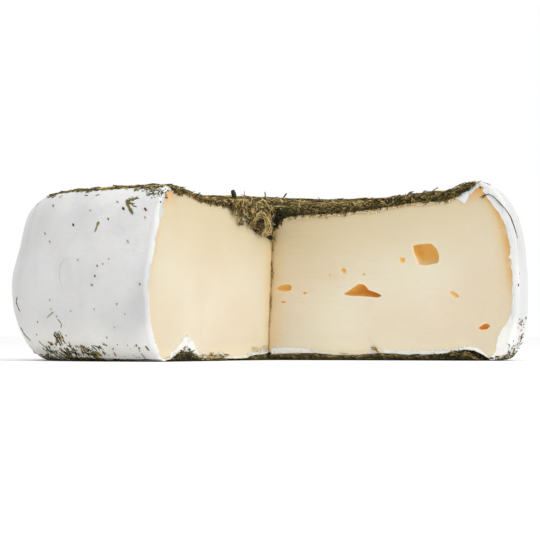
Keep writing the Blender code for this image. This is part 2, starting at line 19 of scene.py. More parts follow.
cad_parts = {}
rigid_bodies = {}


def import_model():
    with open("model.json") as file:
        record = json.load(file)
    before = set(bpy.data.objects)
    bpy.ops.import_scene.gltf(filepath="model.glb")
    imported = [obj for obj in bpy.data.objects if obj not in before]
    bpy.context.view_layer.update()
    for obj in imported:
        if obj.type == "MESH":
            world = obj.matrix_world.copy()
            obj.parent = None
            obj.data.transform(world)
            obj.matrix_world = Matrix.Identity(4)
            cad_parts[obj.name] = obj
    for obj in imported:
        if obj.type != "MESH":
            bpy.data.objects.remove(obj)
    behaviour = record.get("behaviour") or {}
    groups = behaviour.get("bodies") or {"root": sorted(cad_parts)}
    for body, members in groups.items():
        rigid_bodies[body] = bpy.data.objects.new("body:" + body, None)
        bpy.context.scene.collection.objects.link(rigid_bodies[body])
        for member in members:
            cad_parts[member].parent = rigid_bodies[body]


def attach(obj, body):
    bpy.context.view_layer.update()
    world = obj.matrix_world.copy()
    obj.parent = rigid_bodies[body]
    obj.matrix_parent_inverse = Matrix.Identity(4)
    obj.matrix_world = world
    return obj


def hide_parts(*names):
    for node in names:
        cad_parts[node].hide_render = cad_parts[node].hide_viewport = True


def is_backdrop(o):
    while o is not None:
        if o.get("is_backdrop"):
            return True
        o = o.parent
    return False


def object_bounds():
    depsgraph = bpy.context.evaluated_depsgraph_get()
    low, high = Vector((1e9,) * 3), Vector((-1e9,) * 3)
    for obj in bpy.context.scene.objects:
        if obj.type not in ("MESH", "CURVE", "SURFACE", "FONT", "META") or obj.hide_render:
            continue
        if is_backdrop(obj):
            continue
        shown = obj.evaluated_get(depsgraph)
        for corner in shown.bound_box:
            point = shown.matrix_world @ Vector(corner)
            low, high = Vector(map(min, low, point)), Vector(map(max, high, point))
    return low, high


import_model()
solid_low, solid_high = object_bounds()
scene = bpy.context.scene
draws = np.random.default_rng(2030)
print("solid model, mm:", [round((high - low) * 1000, 1) for low, high in zip(solid_low, solid_high)])

# %% [markdown]
# ## The camera
#
# The picture was taken from table height with a long lens, so the wheel hardly shrinks with depth,
# and its underside is a straight line. The horizon lies below the middle of the picture. A lens shift
# could put it there, but a shift would stay in every other view, so the camera is tipped up by about
# a degree instead, which looks the same at this focal length.

# %% Camera
IMAGE_SIZE = 540
SENSOR_WIDTH = 36.0
BELLY_RADIUS = 0.125
BELLY_RADIUS_PIXELS = 257
HORIZON_ROW = 334.8
CAMERA_DISTANCE = 1.5
CAMERA_HEIGHT = 0.012
CAMERA_TURN = math.radians(26.45)

focal_pixels = BELLY_RADIUS_PIXELS * CAMERA_DISTANCE / BELLY_RADIUS
camera_pitch = math.atan((HORIZON_ROW - IMAGE_SIZE / 2) / focal_pixels)
lens = bpy.data.cameras.new("camera")
lens.sensor_width = SENSOR_WIDTH
lens.lens = focal_pixels / IMAGE_SIZE * SENSOR_WIDTH
lens.clip_end = 50
camera = bpy.data.objects.new("camera", lens)
camera.location = (
    CAMERA_DISTANCE * math.sin(CAMERA_TURN), -CAMERA_DISTANCE * math.cos(CAMERA_TURN), CAMERA_HEIGHT,
)
camera.rotation_euler = (math.radians(90) + camera_pitch, 0, CAMERA_TURN)
scene.collection.objects.link(camera)
scene.camera = camera
print(f"lens {lens.lens:.1f} mm, tipped up {math.degrees(camera_pitch):.2f} degrees")


def pixel_ray(column, row):
    """Where the line of sight through this pixel starts, and its direction."""
    across = (column - IMAGE_SIZE / 2) / focal_pixels
    down = (row - IMAGE_SIZE / 2) / focal_pixels
    way = camera.rotation_euler.to_matrix() @ Vector((across, -down, -1))
    return camera.location.copy(), way.normalized()


# %% [markdown]
# ## Light and floor
#
# Food on a white ground is lit from all round, with one broad soft light to give it shape. Here that
# light hangs to the right, because the rind is greyest at the left and whitest at the right. A wide
# soft sun overhead makes the floor white far into the distance, where a lamp would leave a grey
# horizon. The camera sees a pure white world, but the world lights the wheel a little less, so that
# the soft light can still shape it. The Standard view transform keeps white white.

# %% Light and floor
WORLD_STRENGTH = 0.5
LIT_SPOT = (0, 0, 0.04)
# Each light's kind, place and power, and its size: in metres, or in degrees for the sun
LIGHTS = {
    "key": ("AREA", (1.7, -0.35, 0.8), 13.4, 1.2),
    "fill": ("AREA", (-0.7, -1.7, 0.8), 1.4, 1.6),
    "overhead": ("SUN", (0.2, -0.4, 2.0), 1.75, 70),
}
FLOOR_SIZE = 30
FLOOR_GAP = 0.0003

scene.view_settings.view_transform = "Standard"
world = bpy.data.worlds.new("white_room")
world.use_nodes = True
background = world.node_tree.nodes["Background"]
background.inputs["Color"].default_value = (1, 1, 1, 1)
seen = world.node_tree.nodes.new("ShaderNodeLightPath")
strength = world.node_tree.nodes.new("ShaderNodeMapRange")
strength.inputs["To Min"].default_value = WORLD_STRENGTH
world.node_tree.links.new(seen.outputs["Is Camera Ray"], strength.inputs["Value"])
world.node_tree.links.new(strength.outputs["Result"], background.inputs["Strength"])
scene.world = world

for name, (kind, place, power, size) in LIGHTS.items():
    lamp = bpy.data.lights.new(name, kind)
    lamp.energy = power
    if kind == "SUN":
        lamp.angle = math.radians(size)
    else:
        lamp.size = size
    light = bpy.data.objects.new(name, lamp)
    light.location = place
    light.rotation_euler = (Vector(LIT_SPOT) - light.location).to_track_quat("-Z", "Y").to_euler()
    scene.collection.objects.link(light)

floor_mesh = bpy.data.meshes.new("floor")
reach = FLOOR_SIZE / 2
floor_corners = [(-reach, -reach, 0), (reach, -reach, 0), (reach, reach, 0), (-reach, reach, 0)]
floor_mesh.from_pydata(floor_corners, [], [(0, 1, 2, 3)])
floor = bpy.data.objects.new("floor", floor_mesh)
floor.location.z = -FLOOR_GAP
scene.collection.objects.link(floor)
floor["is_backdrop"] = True

# %% [markdown]
# ## The section of the wheel
#
# A cheese like this is turned in its mould as it drains, so its form is one section swept round an
# axis: a shallow dish on top, a squarish shoulder, a round belly and a tucked-in foot. The solid
# model's own sizes drive these formulas, so the skins made here fit it. Arrays of points take the
# place of loops, because thousands of points are needed.

# %% Section of the wheel
BELLY_HEIGHT = 0.034
FOOT_ROUND = 0.02
SHOULDER_ROUND = 0.024
SHOULDER_SQUARENESS = 2.35
RIM_HEIGHT = 0.082
DISH_HEIGHT = 0.074
DISH_POWER = 2.6
DISH_RADIUS = BELLY_RADIUS - SHOULDER_ROUND
FOOT_RADIUS = BELLY_RADIUS - FOOT_ROUND
TOP_COAT = 0.004
BOTTOM_COAT = 0.003
CENTRE_PRESS = 0.008
CENTRE_PRESS_RADIUS = 0.0055
CLEARANCE = 0.0003
SHOULDER_COAT_END = math.radians(80)
FOOT_COAT_END = math.radians(26)
QUARTER = math.radians(90)
TURN = 2 * math.pi


def points(*parts):
    """Points from arrays of their parts: radius and height for a section, or x, y and z."""
    return np.stack(np.broadcast_arrays(*parts), -1)


def around(radius, angle, height):
    """Points at these radii and angles about the wheel's axis, and at these heights."""
    return points(radius * np.cos(angle), radius * np.sin(angle), height)


def dish_height(radius):
    """The moulded height of the top coat's upper side, inside the rim."""
    return DISH_HEIGHT + (RIM_HEIGHT - DISH_HEIGHT) * (radius / DISH_RADIUS) ** DISH_POWER


def top_depth(radius):
    """How deep the top coat lies."""
    return TOP_COAT + CENTRE_PRESS * np.exp(-((radius / CENTRE_PRESS_RADIUS) ** 2))


def seat_height(radius):
    """The moulded height of the cheese under the top coat."""
    return dish_height(radius) - top_depth(radius) - CLEARANCE


def shoulder(angle, inset=0.0):
    """Points of the shoulder, from the rim at 90 degrees to the belly at 0, set in by this much."""
    bend, steep = 2 / SHOULDER_SQUARENESS, SHOULDER_SQUARENESS - 1
    tall = RIM_HEIGHT - BELLY_HEIGHT
    across, up = np.cos(angle).clip(0) ** bend, np.sin(angle).clip(0) ** bend
    out = points(across ** steep / SHOULDER_ROUND, up ** steep / tall)
    out /= np.linalg.norm(out, axis=-1, keepdims=True)
    place = points(DISH_RADIUS + SHOULDER_ROUND * across, BELLY_HEIGHT + tall * up)
    return place - out * np.reshape(inset, (-1, 1))


def foot(angle, inset=0.0):
    """Points of the foot, from the underside at 0 degrees to the belly at 90."""
    out = points(np.sin(angle) / FOOT_ROUND, -np.cos(angle) / BELLY_HEIGHT)
    out /= np.linalg.norm(out, axis=-1, keepdims=True)
    place = points(FOOT_RADIUS + FOOT_ROUND * np.sin(angle), BELLY_HEIGHT * (1 - np.cos(angle)))
    return place - out * np.reshape(inset, (-1, 1))


def respaced(line, spacing=None, count=None):
    """The same line with points this far apart, or with this many points."""
    steps = np.linalg.norm(np.diff(line, axis=0), axis=1)
    way = np.concatenate([[0], np.cumsum(steps)])
    places = np.linspace(0, way[-1], count or max(2, round(way[-1] / spacing) + 1))
    return points(*[np.interp(places, way, part) for part in line.T])


def outward(line):
    """The way out of a section whose points run from the top, over the rim, to the underside."""
    way = np.gradient(line, axis=0)
    out = points(-way[:, 1], way[:, 0])
    return out / np.linalg.norm(out, axis=1, keepdims=True)


share = np.linspace(0, 1, 30)
top_line = points(share * DISH_RADIUS, seat_height(share * DISH_RADIUS))
lip_line = shoulder(QUARTER + (SHOULDER_COAT_END - QUARTER) * share, (TOP_COAT + CLEARANCE) * (1 - share))
wall_line = np.concatenate([
    shoulder(SHOULDER_COAT_END * np.linspace(1, 0, 140)),
    foot(np.linspace(QUARTER, FOOT_COAT_END, 120))[1:],
])
heel_line = foot(FOOT_COAT_END * (1 - share), (BOTTOM_COAT + CLEARANCE) * share)
sole_line = points(FOOT_RADIUS * (1 - share), BOTTOM_COAT + CLEARANCE)
cheese_line = np.concatenate([top_line, lip_line[1:], wall_line[1:], heel_line[1:], sole_line[1:]])
line_steps = np.linalg.norm(np.diff(cheese_line, axis=0), axis=1)
print(f"section of the cheese: {line_steps.sum() * 1000:.0f} mm long")

# %% [markdown]
# ## How the wheel has settled
#
# No cheese keeps the shape of its mould. This one has sagged towards the cut, its foot spreads on one
# side, and pads of needles have pressed up into its soft underside. One function moves any point of
# the moulded wheel to its settled place, and everything below goes through it, so that paste, rind
# and needles stay together.

# %% Settling
RIM_STATIONS = np.array([0.0856, 0.082, 0.0816, 0.0838, 0.0808, 0.0797, 0.0804, 0.083])
OUT_OF_ROUND = 0.004
OUT_OF_ROUND_TURN = 0.7
FOOT_SPREAD = 0.055
FOOT_SPREAD_TOWARDS = math.radians(26)
RIM_DENT = (-0.0028, 0.092, 0.012)
SEAT_SWELLING = (0.0028, 0.088, 0.01)
SEAT_RISE = (0.0028, 0.056, 0.026)
RIGHT_PAD = (0.0024, 0.0985, 0.0085)
RIGHT_HEEL = (-0.003, 0.1085, 0.0052)
LEFT_PAD = (0.0078, 0.087, 0.0085)
SOLE_WAVE = (0.0005, 0.075, 0.03)
LEFT_THINNING = 0.0017
LEFT_THIN_FROM = 0.03
SHIFT_FADES = 1.3
# Where the side stands in or out: how far, at what height, over what height, at what angle, how far round
SIDE_FORMS = (
    (-0.0025, 0.057, 0.012, math.radians(206), 0.7),
    (0.0005, 0.067, 0.009, math.radians(28), 0.45),
)
NEAR_A_CUT = 0.35
FAR_FROM_A_CUT = 0.5
AT_A_CUT = 0.12
LEFT_CUT = math.radians(270)
RIGHT_CUT = 0.0


def window(value, centre, width):
    """A smooth bump, 1 at the centre and near 0 past the width."""
    return np.exp(-(((value - centre) / width) ** 2))


def angle_from(angle, centre):
    """The turn between two directions, in radians, from -pi to pi."""
    return (angle - centre + math.pi) % TURN - math.pi


def swelling(radius, sizes, angle=0.0, cut_angle=0.0, reach=np.inf):
    """How high a swelling of these sizes stands here, at most this reach round from a cut."""
    height, centre, width = sizes
    return height * window(radius, centre, width) * window(angle_from(angle, cut_angle), 0, reach)


def rim_height(angle):
    """The rim's height round the wheel, eased between the measured stations."""
    place = (angle % TURN) / (TURN / len(RIM_STATIONS))
    low = place.astype(int) % len(RIM_STATIONS)
    share = (1 - np.cos((place % 1) * math.pi)) / 2
    return RIM_STATIONS[low] * (1 - share) + RIM_STATIONS[(low + 1) % len(RIM_STATIONS)] * share


def sole_shift(radius, angle):
    """How far needles have pushed the underside up."""
    right = swelling(radius, RIGHT_PAD, angle, RIGHT_CUT, FAR_FROM_A_CUT)
    right += swelling(radius, RIGHT_HEEL, angle, RIGHT_CUT, FAR_FROM_A_CUT)
    left = swelling(radius, LEFT_PAD, angle, LEFT_CUT, AT_A_CUT)
    thinner = LEFT_THINNING * window(angle_from(angle, LEFT_CUT), 0, FAR_FROM_A_CUT)
    wave = swelling(radius, SOLE_WAVE) * np.sin(5 * angle)
    return right + left - thinner * np.minimum(1, radius / LEFT_THIN_FROM) + wave


def spread(angle, height, inside):
    """How much wider than its mould the wheel is here."""
    towards = np.cos(angle_from(angle, FOOT_SPREAD_TOWARDS)).clip(0)
    low_down = (1 - height / BELLY_HEIGHT).clip(0) ** 2
    formed = sum(out * window(height, level, tall) * window(angle_from(angle, centre), 0, turn)
                 for out, level, tall, centre, turn in SIDE_FORMS)
    wide = 1 + OUT_OF_ROUND * np.cos(2 * angle + OUT_OF_ROUND_TURN) * inside
    return wide + FOOT_SPREAD * towards * low_down + formed / BELLY_RADIUS * inside ** 4


def settle(places):
    """The settled places of an array of moulded ones."""
    x, y, z = np.moveaxis(places, -1, 0)
    radius, angle = np.hypot(x, y), np.arctan2(y, x)
    inside = np.minimum(1, radius / DISH_RADIUS)
    seat = seat_height(np.minimum(radius, DISH_RADIUS))
    thick = top_depth(np.minimum(radius, DISH_RADIUS))
    share = ((z - BELLY_HEIGHT) / (seat - BELLY_HEIGHT)).clip(0, 1)
    above = ((z - seat - CLEARANCE) / thick).clip(0, 1)
    lift = share * (rim_height(angle) - RIM_HEIGHT) * inside ** 2
    lift += share * swelling(radius, RIM_DENT, angle, RIGHT_CUT, NEAR_A_CUT)
    for form in (SEAT_SWELLING, SEAT_RISE):
        lift += share ** 3 * swelling(radius, form, angle, LEFT_CUT, NEAR_A_CUT) * (1 - above)
    push = sole_shift(radius, angle) * (1 - SHIFT_FADES * (1 - z / BOTTOM_COAT)).clip(0, 1)
    push = np.where(radius < BELLY_RADIUS - 0.6 * FOOT_ROUND, push, 0)
    wider = spread(angle, z, inside)
    return points(x * wider, y * wider, z + np.where(z > BELLY_HEIGHT, lift, push))


def line_height(line, places):
    """The settled height of a section line over these places, for a line that runs outwards."""
    x, y = places[:, 0], places[:, 1]
    return settle(points(x, y, np.interp(np.hypot(x, y), line[:, 0], line[:, 1])))[:, 2]


coat_line = np.concatenate([
    points(share * DISH_RADIUS, dish_height(share * DISH_RADIUS)),
    shoulder(np.linspace(QUARTER, 0, 90))[1:],
])
seat_line = np.concatenate([top_line, lip_line[1:]])
bottom_line = np.concatenate([heel_line, sole_line[1:]])
floor_line = bottom_line[::-1]
under_line = np.concatenate([[[0, 0]], foot(np.linspace(0, QUARTER, 60))])
for name, line in (("coat", coat_line), ("seat", seat_line), ("sole", floor_line)):
    heights = line_height(line, np.array([(0.001, 0.001), (0.09, 0.001)])) * 1000
    print(f"{name} at the axis and near the rim: {heights.round(1)} mm")

# %% [markdown]
# ## Helpers for large meshes
#
# Blender can take a mesh from lists, but with a hundred thousand points its foreach_set calls, which
# take whole arrays, are far quicker. Cuts use the MANIFOLD Boolean solver, which is quick on closed
# meshes.

# %% Mesh helpers
def grid_quads(rows, columns, round_rows=False, round_columns=False):
    """The corner numbers of the quads of a grid, which may close on itself either way."""
    row, column = np.meshgrid(
        np.arange(rows if round_rows else rows - 1),
        np.arange(columns if round_columns else columns - 1), indexing="ij",
    )
    below, beside = (row + 1) % rows, (column + 1) % columns
    corners = [row * columns + column, below * columns + column,
               below * columns + beside, row * columns + beside]
    return np.stack(corners, -1).reshape(-1, 4)


def new_piece(name, places, quads, caps=()):
    """An object of quads, and caps of any number of corners, with its faces turned outwards."""
    places = places.reshape(-1, 3)
    corners = np.concatenate([quads.ravel(), *caps]).astype(np.int32)
    sizes = np.concatenate([np.full(len(quads), 4), [len(cap) for cap in caps]]).astype(np.int32)
    mesh = bpy.data.meshes.new(name)
    mesh.vertices.add(len(places))
    mesh.vertices.foreach_set("co", places.astype(np.float32).ravel())
    mesh.loops.add(len(corners))
    mesh.loops.foreach_set("vertex_index", corners)
    mesh.polygons.add(len(sizes))
    mesh.polygons.foreach_set("loop_start", np.cumsum(sizes, dtype=np.int32) - sizes)
    mesh.update(calc_edges=True)
    shape = bmesh.new()
    shape.from_mesh(mesh)
    bmesh.ops.recalc_face_normals(shape, faces=shape.faces)
    shape.to_mesh(mesh)
    shape.free()
    made = bpy.data.objects.new(name, mesh)
    scene.collection.objects.link(made)
    return made


def carve(body, cutters):
    """Cuts these objects out of the body, and removes them."""
    for cutter in cutters:
        cut = body.modifiers.new("cut", "BOOLEAN")
        cut.solver = "MANIFOLD"
        cut.object = cutter
    bpy.context.view_layer.update()
    graph = bpy.context.evaluated_depsgraph_get()
    carved = bpy.data.meshes.new_from_object(body.evaluated_get(graph))
    body.modifiers.clear()
    body.data = carved
    for cutter in cutters:
        bpy.data.objects.remove(cutter)


def points_of(piece):
    """The places of a piece's points."""
    places = np.empty(len(piece.data.vertices) * 3, np.float32)
    piece.data.vertices.foreach_get("co", places)
    return places.reshape(-1, 3).astype(float)


def note(piece, name, values):
    """Writes one number for each point of a piece, which a material can read."""
    made = piece.data.attributes.new(name, "FLOAT", "POINT")
    made.data.foreach_set("value", np.asarray(values, np.float32).ravel())


def lumps(places, size, start=0.0):
    """Smooth noise between about -1 and 1 at each place, with lumps of this size."""
    scaled = (places / size + start).reshape(-1, places.shape[-1])
    if scaled.shape[1] == 2:
        scaled = np.append(scaled, np.full((len(scaled), 1), start), axis=1)
    return np.reshape([noise.noise(place) for place in scaled.tolist()], places.shape[:-1])


def turned(name, line, steps):
    """A section turned about the wheel's axis and settled."""
    rings = around(np.maximum(line[:, 0], 0.0004), np.arange(steps)[:, None] * TURN / steps, line[:, 1])
    columns = len(line)
    first, last = np.arange(steps) * columns, np.arange(steps) * columns + columns - 1
    quads = grid_quads(steps, columns, round_rows=True)
    return new_piece(name, settle(rings), quads, (first, last[::-1]))


def stacked(name, rings):
    """A closed body from a stack of rings of points, with a cap at each end."""
    count, columns = rings.shape[:2]
    quads = grid_quads(count, columns, round_columns=True)
    caps = (np.arange(columns), np.arange(columns)[::-1] + (count - 1) * columns)
    return new_piece(name, rings, quads, caps)


def smoothed(piece, sharpest):
    """Smooth shading, with the edges that turn by more than this many degrees kept sharp."""
    piece.data.shade_smooth()
    piece.data.set_sharp_from_angle(angle=math.radians(sharpest))


def layered(places, layers):
    """Noise in layers. Each has its height, the size of its lumps, and where its noise starts."""
    return sum(height * lumps(places, size, start) for height, size, start in layers)


print("a tube of 3 rings with 8 points each has", len(grid_quads(3, 8, round_columns=True)), "quads")

# %% [markdown]
# ## The knife
#
# The missing quarter was cut with two strokes that meet at the axis. A soft paste bulges a little
# once it is cut, and the blade leaves long shallow drag marks. So the cutter is a curtain of points:
# a path that comes in along the left face, turns at the axis and goes out along the right one, drawn
# up in rows, with each point pushed in or out by the bulge and the marks.

# %% Knife
NOTCH_SPREAD = math.radians(4)
CUT_REACH = 0.145
PAST_AXIS = 0.0005
CUT_BULGE = 0.0016
CUT_RIPPLE = 0.0004
RIPPLES_ALONG = 95
RIPPLES_UP = 130
LEFT_PHASE = 0.4
RIGHT_PHASE = 1.9
CORNER_LEAN = 0.0024
CORNER_LEAN_FROM = 0.0075
CORNER_LEAN_OVER = 0.053
CORNER_LEAN_START = -0.0005
CORNER_LEAN_REACH = 0.012
LEFT_LEAN = 0.0036
LEFT_LEAN_HEIGHT = 0.066
LEFT_LEAN_REACH = 0.024
KNIFE_LOW = -0.004
KNIFE_HIGH = 0.094

# Relief of the paste: height, size of its lumps, and where its noise starts
DRAG_MARKS = ((0.00012, 0.016, 0.0),)
DRAG_SHORTENING = (1, 1, 3.2)
SOFT_DENTS = ((0.00003, 0.0035, 0.0), (0.00002, 0.0014, 0.0))


def cut_face_offset(along, height, phase):
    """How far a cut face stands out from its plane."""
    across = np.sin(math.pi * np.minimum(1, along / BELLY_RADIUS))
    up = np.sin(math.pi * (height / RIM_HEIGHT).clip(0, 1))
    ripple = np.sin(along * RIPPLES_ALONG + phase) * np.sin(height * RIPPLES_UP + 2 * phase)
    return CUT_BULGE * across * up + CUT_RIPPLE * ripple * across


def corner_lean(along, height):
    """How far the corner between the two faces leans to the right."""
    lean = CORNER_LEAN_START + CORNER_LEAN * (height - CORNER_LEAN_FROM) / CORNER_LEAN_OVER
    return lean * np.exp(-along / CORNER_LEAN_REACH)


def left_lean(along, height):
    """How far the left face has sagged to the right near its outer edge, high up."""
    return LEFT_LEAN * window(height, LEFT_LEAN_HEIGHT, LEFT_LEAN_REACH) * (along / BELLY_RADIUS) ** 2


def on_left_face(along, height, proud=0.0):
    """Places on the left cut face, this far from the axis, standing out by proud."""
    lean = corner_lean(along, height) * math.cos(CAMERA_TURN) + left_lean(along, height)
    x = cut_face_offset(along, height, LEFT_PHASE) + lean - PAST_AXIS + proud
    return points(x, PAST_AXIS - along, height)


def on_right_face(along, height, proud=0.0):
    """Places on the right cut face."""
    lean = corner_lean(along, height) * math.sin(CAMERA_TURN)
    y = PAST_AXIS + lean - cut_face_offset(along, height, RIGHT_PHASE) - proud
    return points(along - PAST_AXIS, y + along * math.tan(NOTCH_SPREAD), height)


def edge_height(line, face, along):
    """The height of a section line where it meets a cut face, at these distances from the axis."""
    return line_height(line, face(along, 0 * along))


def knife(name, spacing, relief):
    """The cutter for the missing quarter. The relief is a function of place, for each face."""
    along = np.arange(spacing, BELLY_RADIUS + 0.004, spacing)
    along = np.concatenate([spacing * np.array([0.2, 0.4, 0.7]), along, [CUT_REACH]])
    height = np.arange(KNIFE_LOW, KNIFE_HIGH, spacing)
    along, height = np.meshgrid(along, height)
    left, right = on_left_face(along, height), on_right_face(along, height)
    left[..., 0] += relief(left)
    right[..., 1] -= relief(right)
    middle = on_left_face(np.zeros_like(height[:, :1]), height[:, :1])
    middle[..., 0] += relief(middle)
    middle[..., 1] -= relief(middle)
    corner = points(CUT_REACH, -CUT_REACH, height[:, :1])
    return stacked(name, np.concatenate([left[:, ::-1], middle, right, corner], axis=1))


def paste_relief(places):
    """The paste's own relief: long marks of the blade and small soft dents."""
    return layered(places * DRAG_SHORTENING, DRAG_MARKS) + layered(places, SOFT_DENTS)


print(f"the notch is {math.degrees(QUARTER + NOTCH_SPREAD):.0f} degrees wide")

# %% [markdown]
# ## The eyes in the paste
#
# Eyes are the holes that gas leaves in a ripening cheese. The knife has opened about ten of them in
# the right face. The large ones aren't round: they have flat walls and corners, like a pocket between
# curds, and their lower wall slopes out to the face. Each is a stack of rings that follow the eye's
# outline and shrink towards a pole as they go in. An outline is given by the few pixels of the
# picture where it turns, and each of those is carried onto the cut face along its sight line.

# %% Eyes
EYE_POINTS = 56
EYE_RINGS = 9
EYE_LEAD = 0.0015
EYE_GIRTH = 2.6
EYE_END = 0.98
EYE_LUMPS = ((0.05, 0.0022, 0.0),)

# An eye's orange is how strongly its hollow is painted with shade. Pale is the side where it is painted
# lighter, which is painted light.
EYES = {
    "large": dict(
        outline=((413.4, 245.4), (422, 244), (431.5, 243), (437.7, 249), (440, 256.5), (439, 263),
                 (427, 265.7), (418.7, 264.8), (416.4, 257), (414.1, 253)),
        pole=(421.5, 250), depth=0.0054, squareness=3.2, smoothing=1, orange=0.95, pale=(0.1, 2.2)),
    "beside_large": dict(
        outline=((400, 257.5), (405.6, 257.5), (406, 262), (403, 263.4), (400.2, 262)),
        pole=(403, 260), depth=0.0008, smoothing=4, orange=0.75),
    "arched": dict(
        outline=((344, 293.6), (352, 289), (358, 284.6), (362, 283.5), (365.6, 285), (369.8, 290.2),
                 (376.4, 292.6), (383.4, 295.8), (378, 297.8), (368, 296.6), (353, 296), (344.6, 295)),
        pole=(366, 289.6), depth=0.0048, squareness=2.2, smoothing=1, orange=1.4, pale=(-0.8, 2.4)),
    "above_arched": dict(
        outline=((340.6, 270.6), (344, 267), (347.6, 270.4), (346, 274.4), (342.4, 273.2)),
        pole=(344.4, 270.6), depth=0.0008, orange=0.6),
    "pinhole": dict(
        outline=((362.4, 274.8), (364.6, 272.6), (366.6, 274.6), (364.4, 276.6)),
        pole=(364.4, 274.4), depth=0.0004, orange=0.45),
    "faint": dict(
        outline=((327.6, 276), (330, 273.6), (332.4, 276), (330, 278)),
        pole=(330, 276), depth=0.00035, orange=0.3),
    "by_the_axis": dict(
        outline=((277, 287.6), (283, 284.6), (290, 284.4), (292.8, 286.6), (292, 290.6),
                 (284, 291.8), (278, 290.4)),
        pole=(287, 287), depth=0.002, squareness=2.2, smoothing=2, orange=0.8),
    "slot_upper": dict(
        outline=((302.8, 293), (305.4, 291.6), (308, 293), (305.6, 294.8)),
        pole=(305.4, 293.2), depth=0.0007, smoothing=3, orange=0.85),
    "slot_lower": dict(
        outline=((281, 302), (284, 300.6), (287, 301.8), (284, 303.6)),
        pole=(284, 302), depth=0.0007, smoothing=3, orange=0.85),
    "shallow": dict(
        outline=((449.6, 291.4), (453.6, 290.6), (459.4, 295), (459.6, 297.8), (455, 298), (450.6, 294.6)),
        pole=(456.6, 295.4), depth=0.0008, orange=0.6),
    "low_outer": dict(
        outline=((478.2, 328.4), (483, 324.6), (488, 323.4), (490.8, 326), (488, 329), (482.6, 330)),
        pole=(485.6, 326.8), depth=0.0017, squareness=2.6, smoothing=2, orange=1.7, pale=(0, 0)),
}


def right_face_spot(column, row):
    """How far from the axis, and how high, the sight line through a pixel meets the right face."""
    start, way = pixel_ray(column, row)
    across = Vector((-math.sin(NOTCH_SPREAD), math.cos(NOTCH_SPREAD), 0))
    spot = start
    for _ in range(4):
        along = math.hypot(spot.x, spot.y)
        face = on_right_face(np.array(along), np.array(spot.z))
        spot = start + way * ((Vector(face) - start).dot(across) / way.dot(across))
    return math.hypot(spot.x, spot.y), spot.z


def eye_cutter(name, outline, pole, depth, squareness=2.0, smoothing=5, **_):
    """An eye as a stack of shrinking rings, from just before the face to the eye's depth."""
    ring = np.array([right_face_spot(*pixel) for pixel in outline])
    spacing = 1e-6 + np.ptp(ring[:, 0]) / (EYE_POINTS / EYE_GIRTH)
    ring = respaced(np.concatenate([ring, ring[:1]]), spacing)[:-1]
    for _ in range(smoothing):
        ring = (np.roll(ring, 1, 0) + 2 * ring + np.roll(ring, -1, 0)) / 4
    middle = np.array(right_face_spot(*pole))
    share = np.sin(np.linspace(0, QUARTER, EYE_RINGS + 1)[:-1] * EYE_END)
    size = (1 - share ** squareness) ** (1 / squareness)
    share, size = np.append(-EYE_LEAD / depth, share), np.append(1.0, size)
    flat = middle + (ring - middle) * size[:, None, None]
    rings = on_right_face(flat[..., 0], flat[..., 1], -share[:, None] * depth)
    rings[..., 2] += layered(rings, EYE_LUMPS) * depth
    return stacked("eye_" + name, rings)


print("eyes:", len(EYES), "with the deepest", max(eye["depth"] for eye in EYES.values()) * 1000, "mm deep")

# %% [markdown]
# ## The crease at the axis
#
# Where the two strokes of the knife meet, the left one ran on a little into the paste. The crease
# that it left is a hair wide at the bottom and two millimetres wide at the top, where needles were
# dragged into it. A Boolean with a long wedge cuts it.

# %% Crease
SLIT_HEIGHTS = (0.0, 0.03, 0.052, 0.062)
SLIT_WIDTHS = (0.0004, 0.0005, 0.001, 0.002)
SLIT_DEPTHS = (0.0003, 0.0004, 0.0007, 0.0015)
SLIT_FRONT = 0.0008
SLIT_ROWS = 90
SLIT_WANDERS = (0.00045, 0.0002, 0)


def slit_width(height):
    """The crease at the axis is widest at the top, where needles have been dragged into it."""
    return np.interp(height, SLIT_HEIGHTS, SLIT_WIDTHS)


def crease_middle(height):
    """The middle of the crease, which wanders a little about the corner between the faces."""
    middle = on_left_face(np.zeros(len(height)), height)
    return middle + np.array(SLIT_WANDERS) * lumps(points(height, 0 * height), 0.011, 52.0)[:, None]


def slit_cutter():
    """The crease as a wedge that points into the paste."""
    height = np.linspace(KNIFE_LOW, KNIFE_HIGH, SLIT_ROWS)
    middle = crease_middle(height)
    half = slit_width(height) / 2 * (1 + 0.5 * lumps(points(height, 0 * height), 0.0035, 51.0))
    side, deep = np.array((1, 0, 0)) * half[:, None], np.array((0, 1, 0))
    tip = middle + deep * np.interp(height, SLIT_HEIGHTS, SLIT_DEPTHS)[:, None]
    front = middle - deep * SLIT_FRONT
    return stacked("slit", np.stack([front - side, front + side, tip], 1))


print("crease: from", SLIT_WIDTHS[0] * 1000, "to", SLIT_WIDTHS[-1] * 1000, "mm wide")

# %% [markdown]
# ## The paste
#
# The paste is the cheese inside the rind. Its skin is the section set in by a little less than the
# rind's thickness. The turned body needs few points, because only the cut faces show, and they get
# their fine surface from the knife.

# %% Paste
RIND_THICK = 0.0019
RIND_THIN = 0.0001
RIND_OVERLAP = 0.0006
SKIN_SPACING = 0.0025
SKIN_STEPS = 180
KNIFE_SPACING = 0.0008
# Where the rind thins out: the radius and height at which it starts, and over how far it thickens
THIN_TOP, THIN_FOOT = (0.098, 0.008), (0.0028, 0.0028)

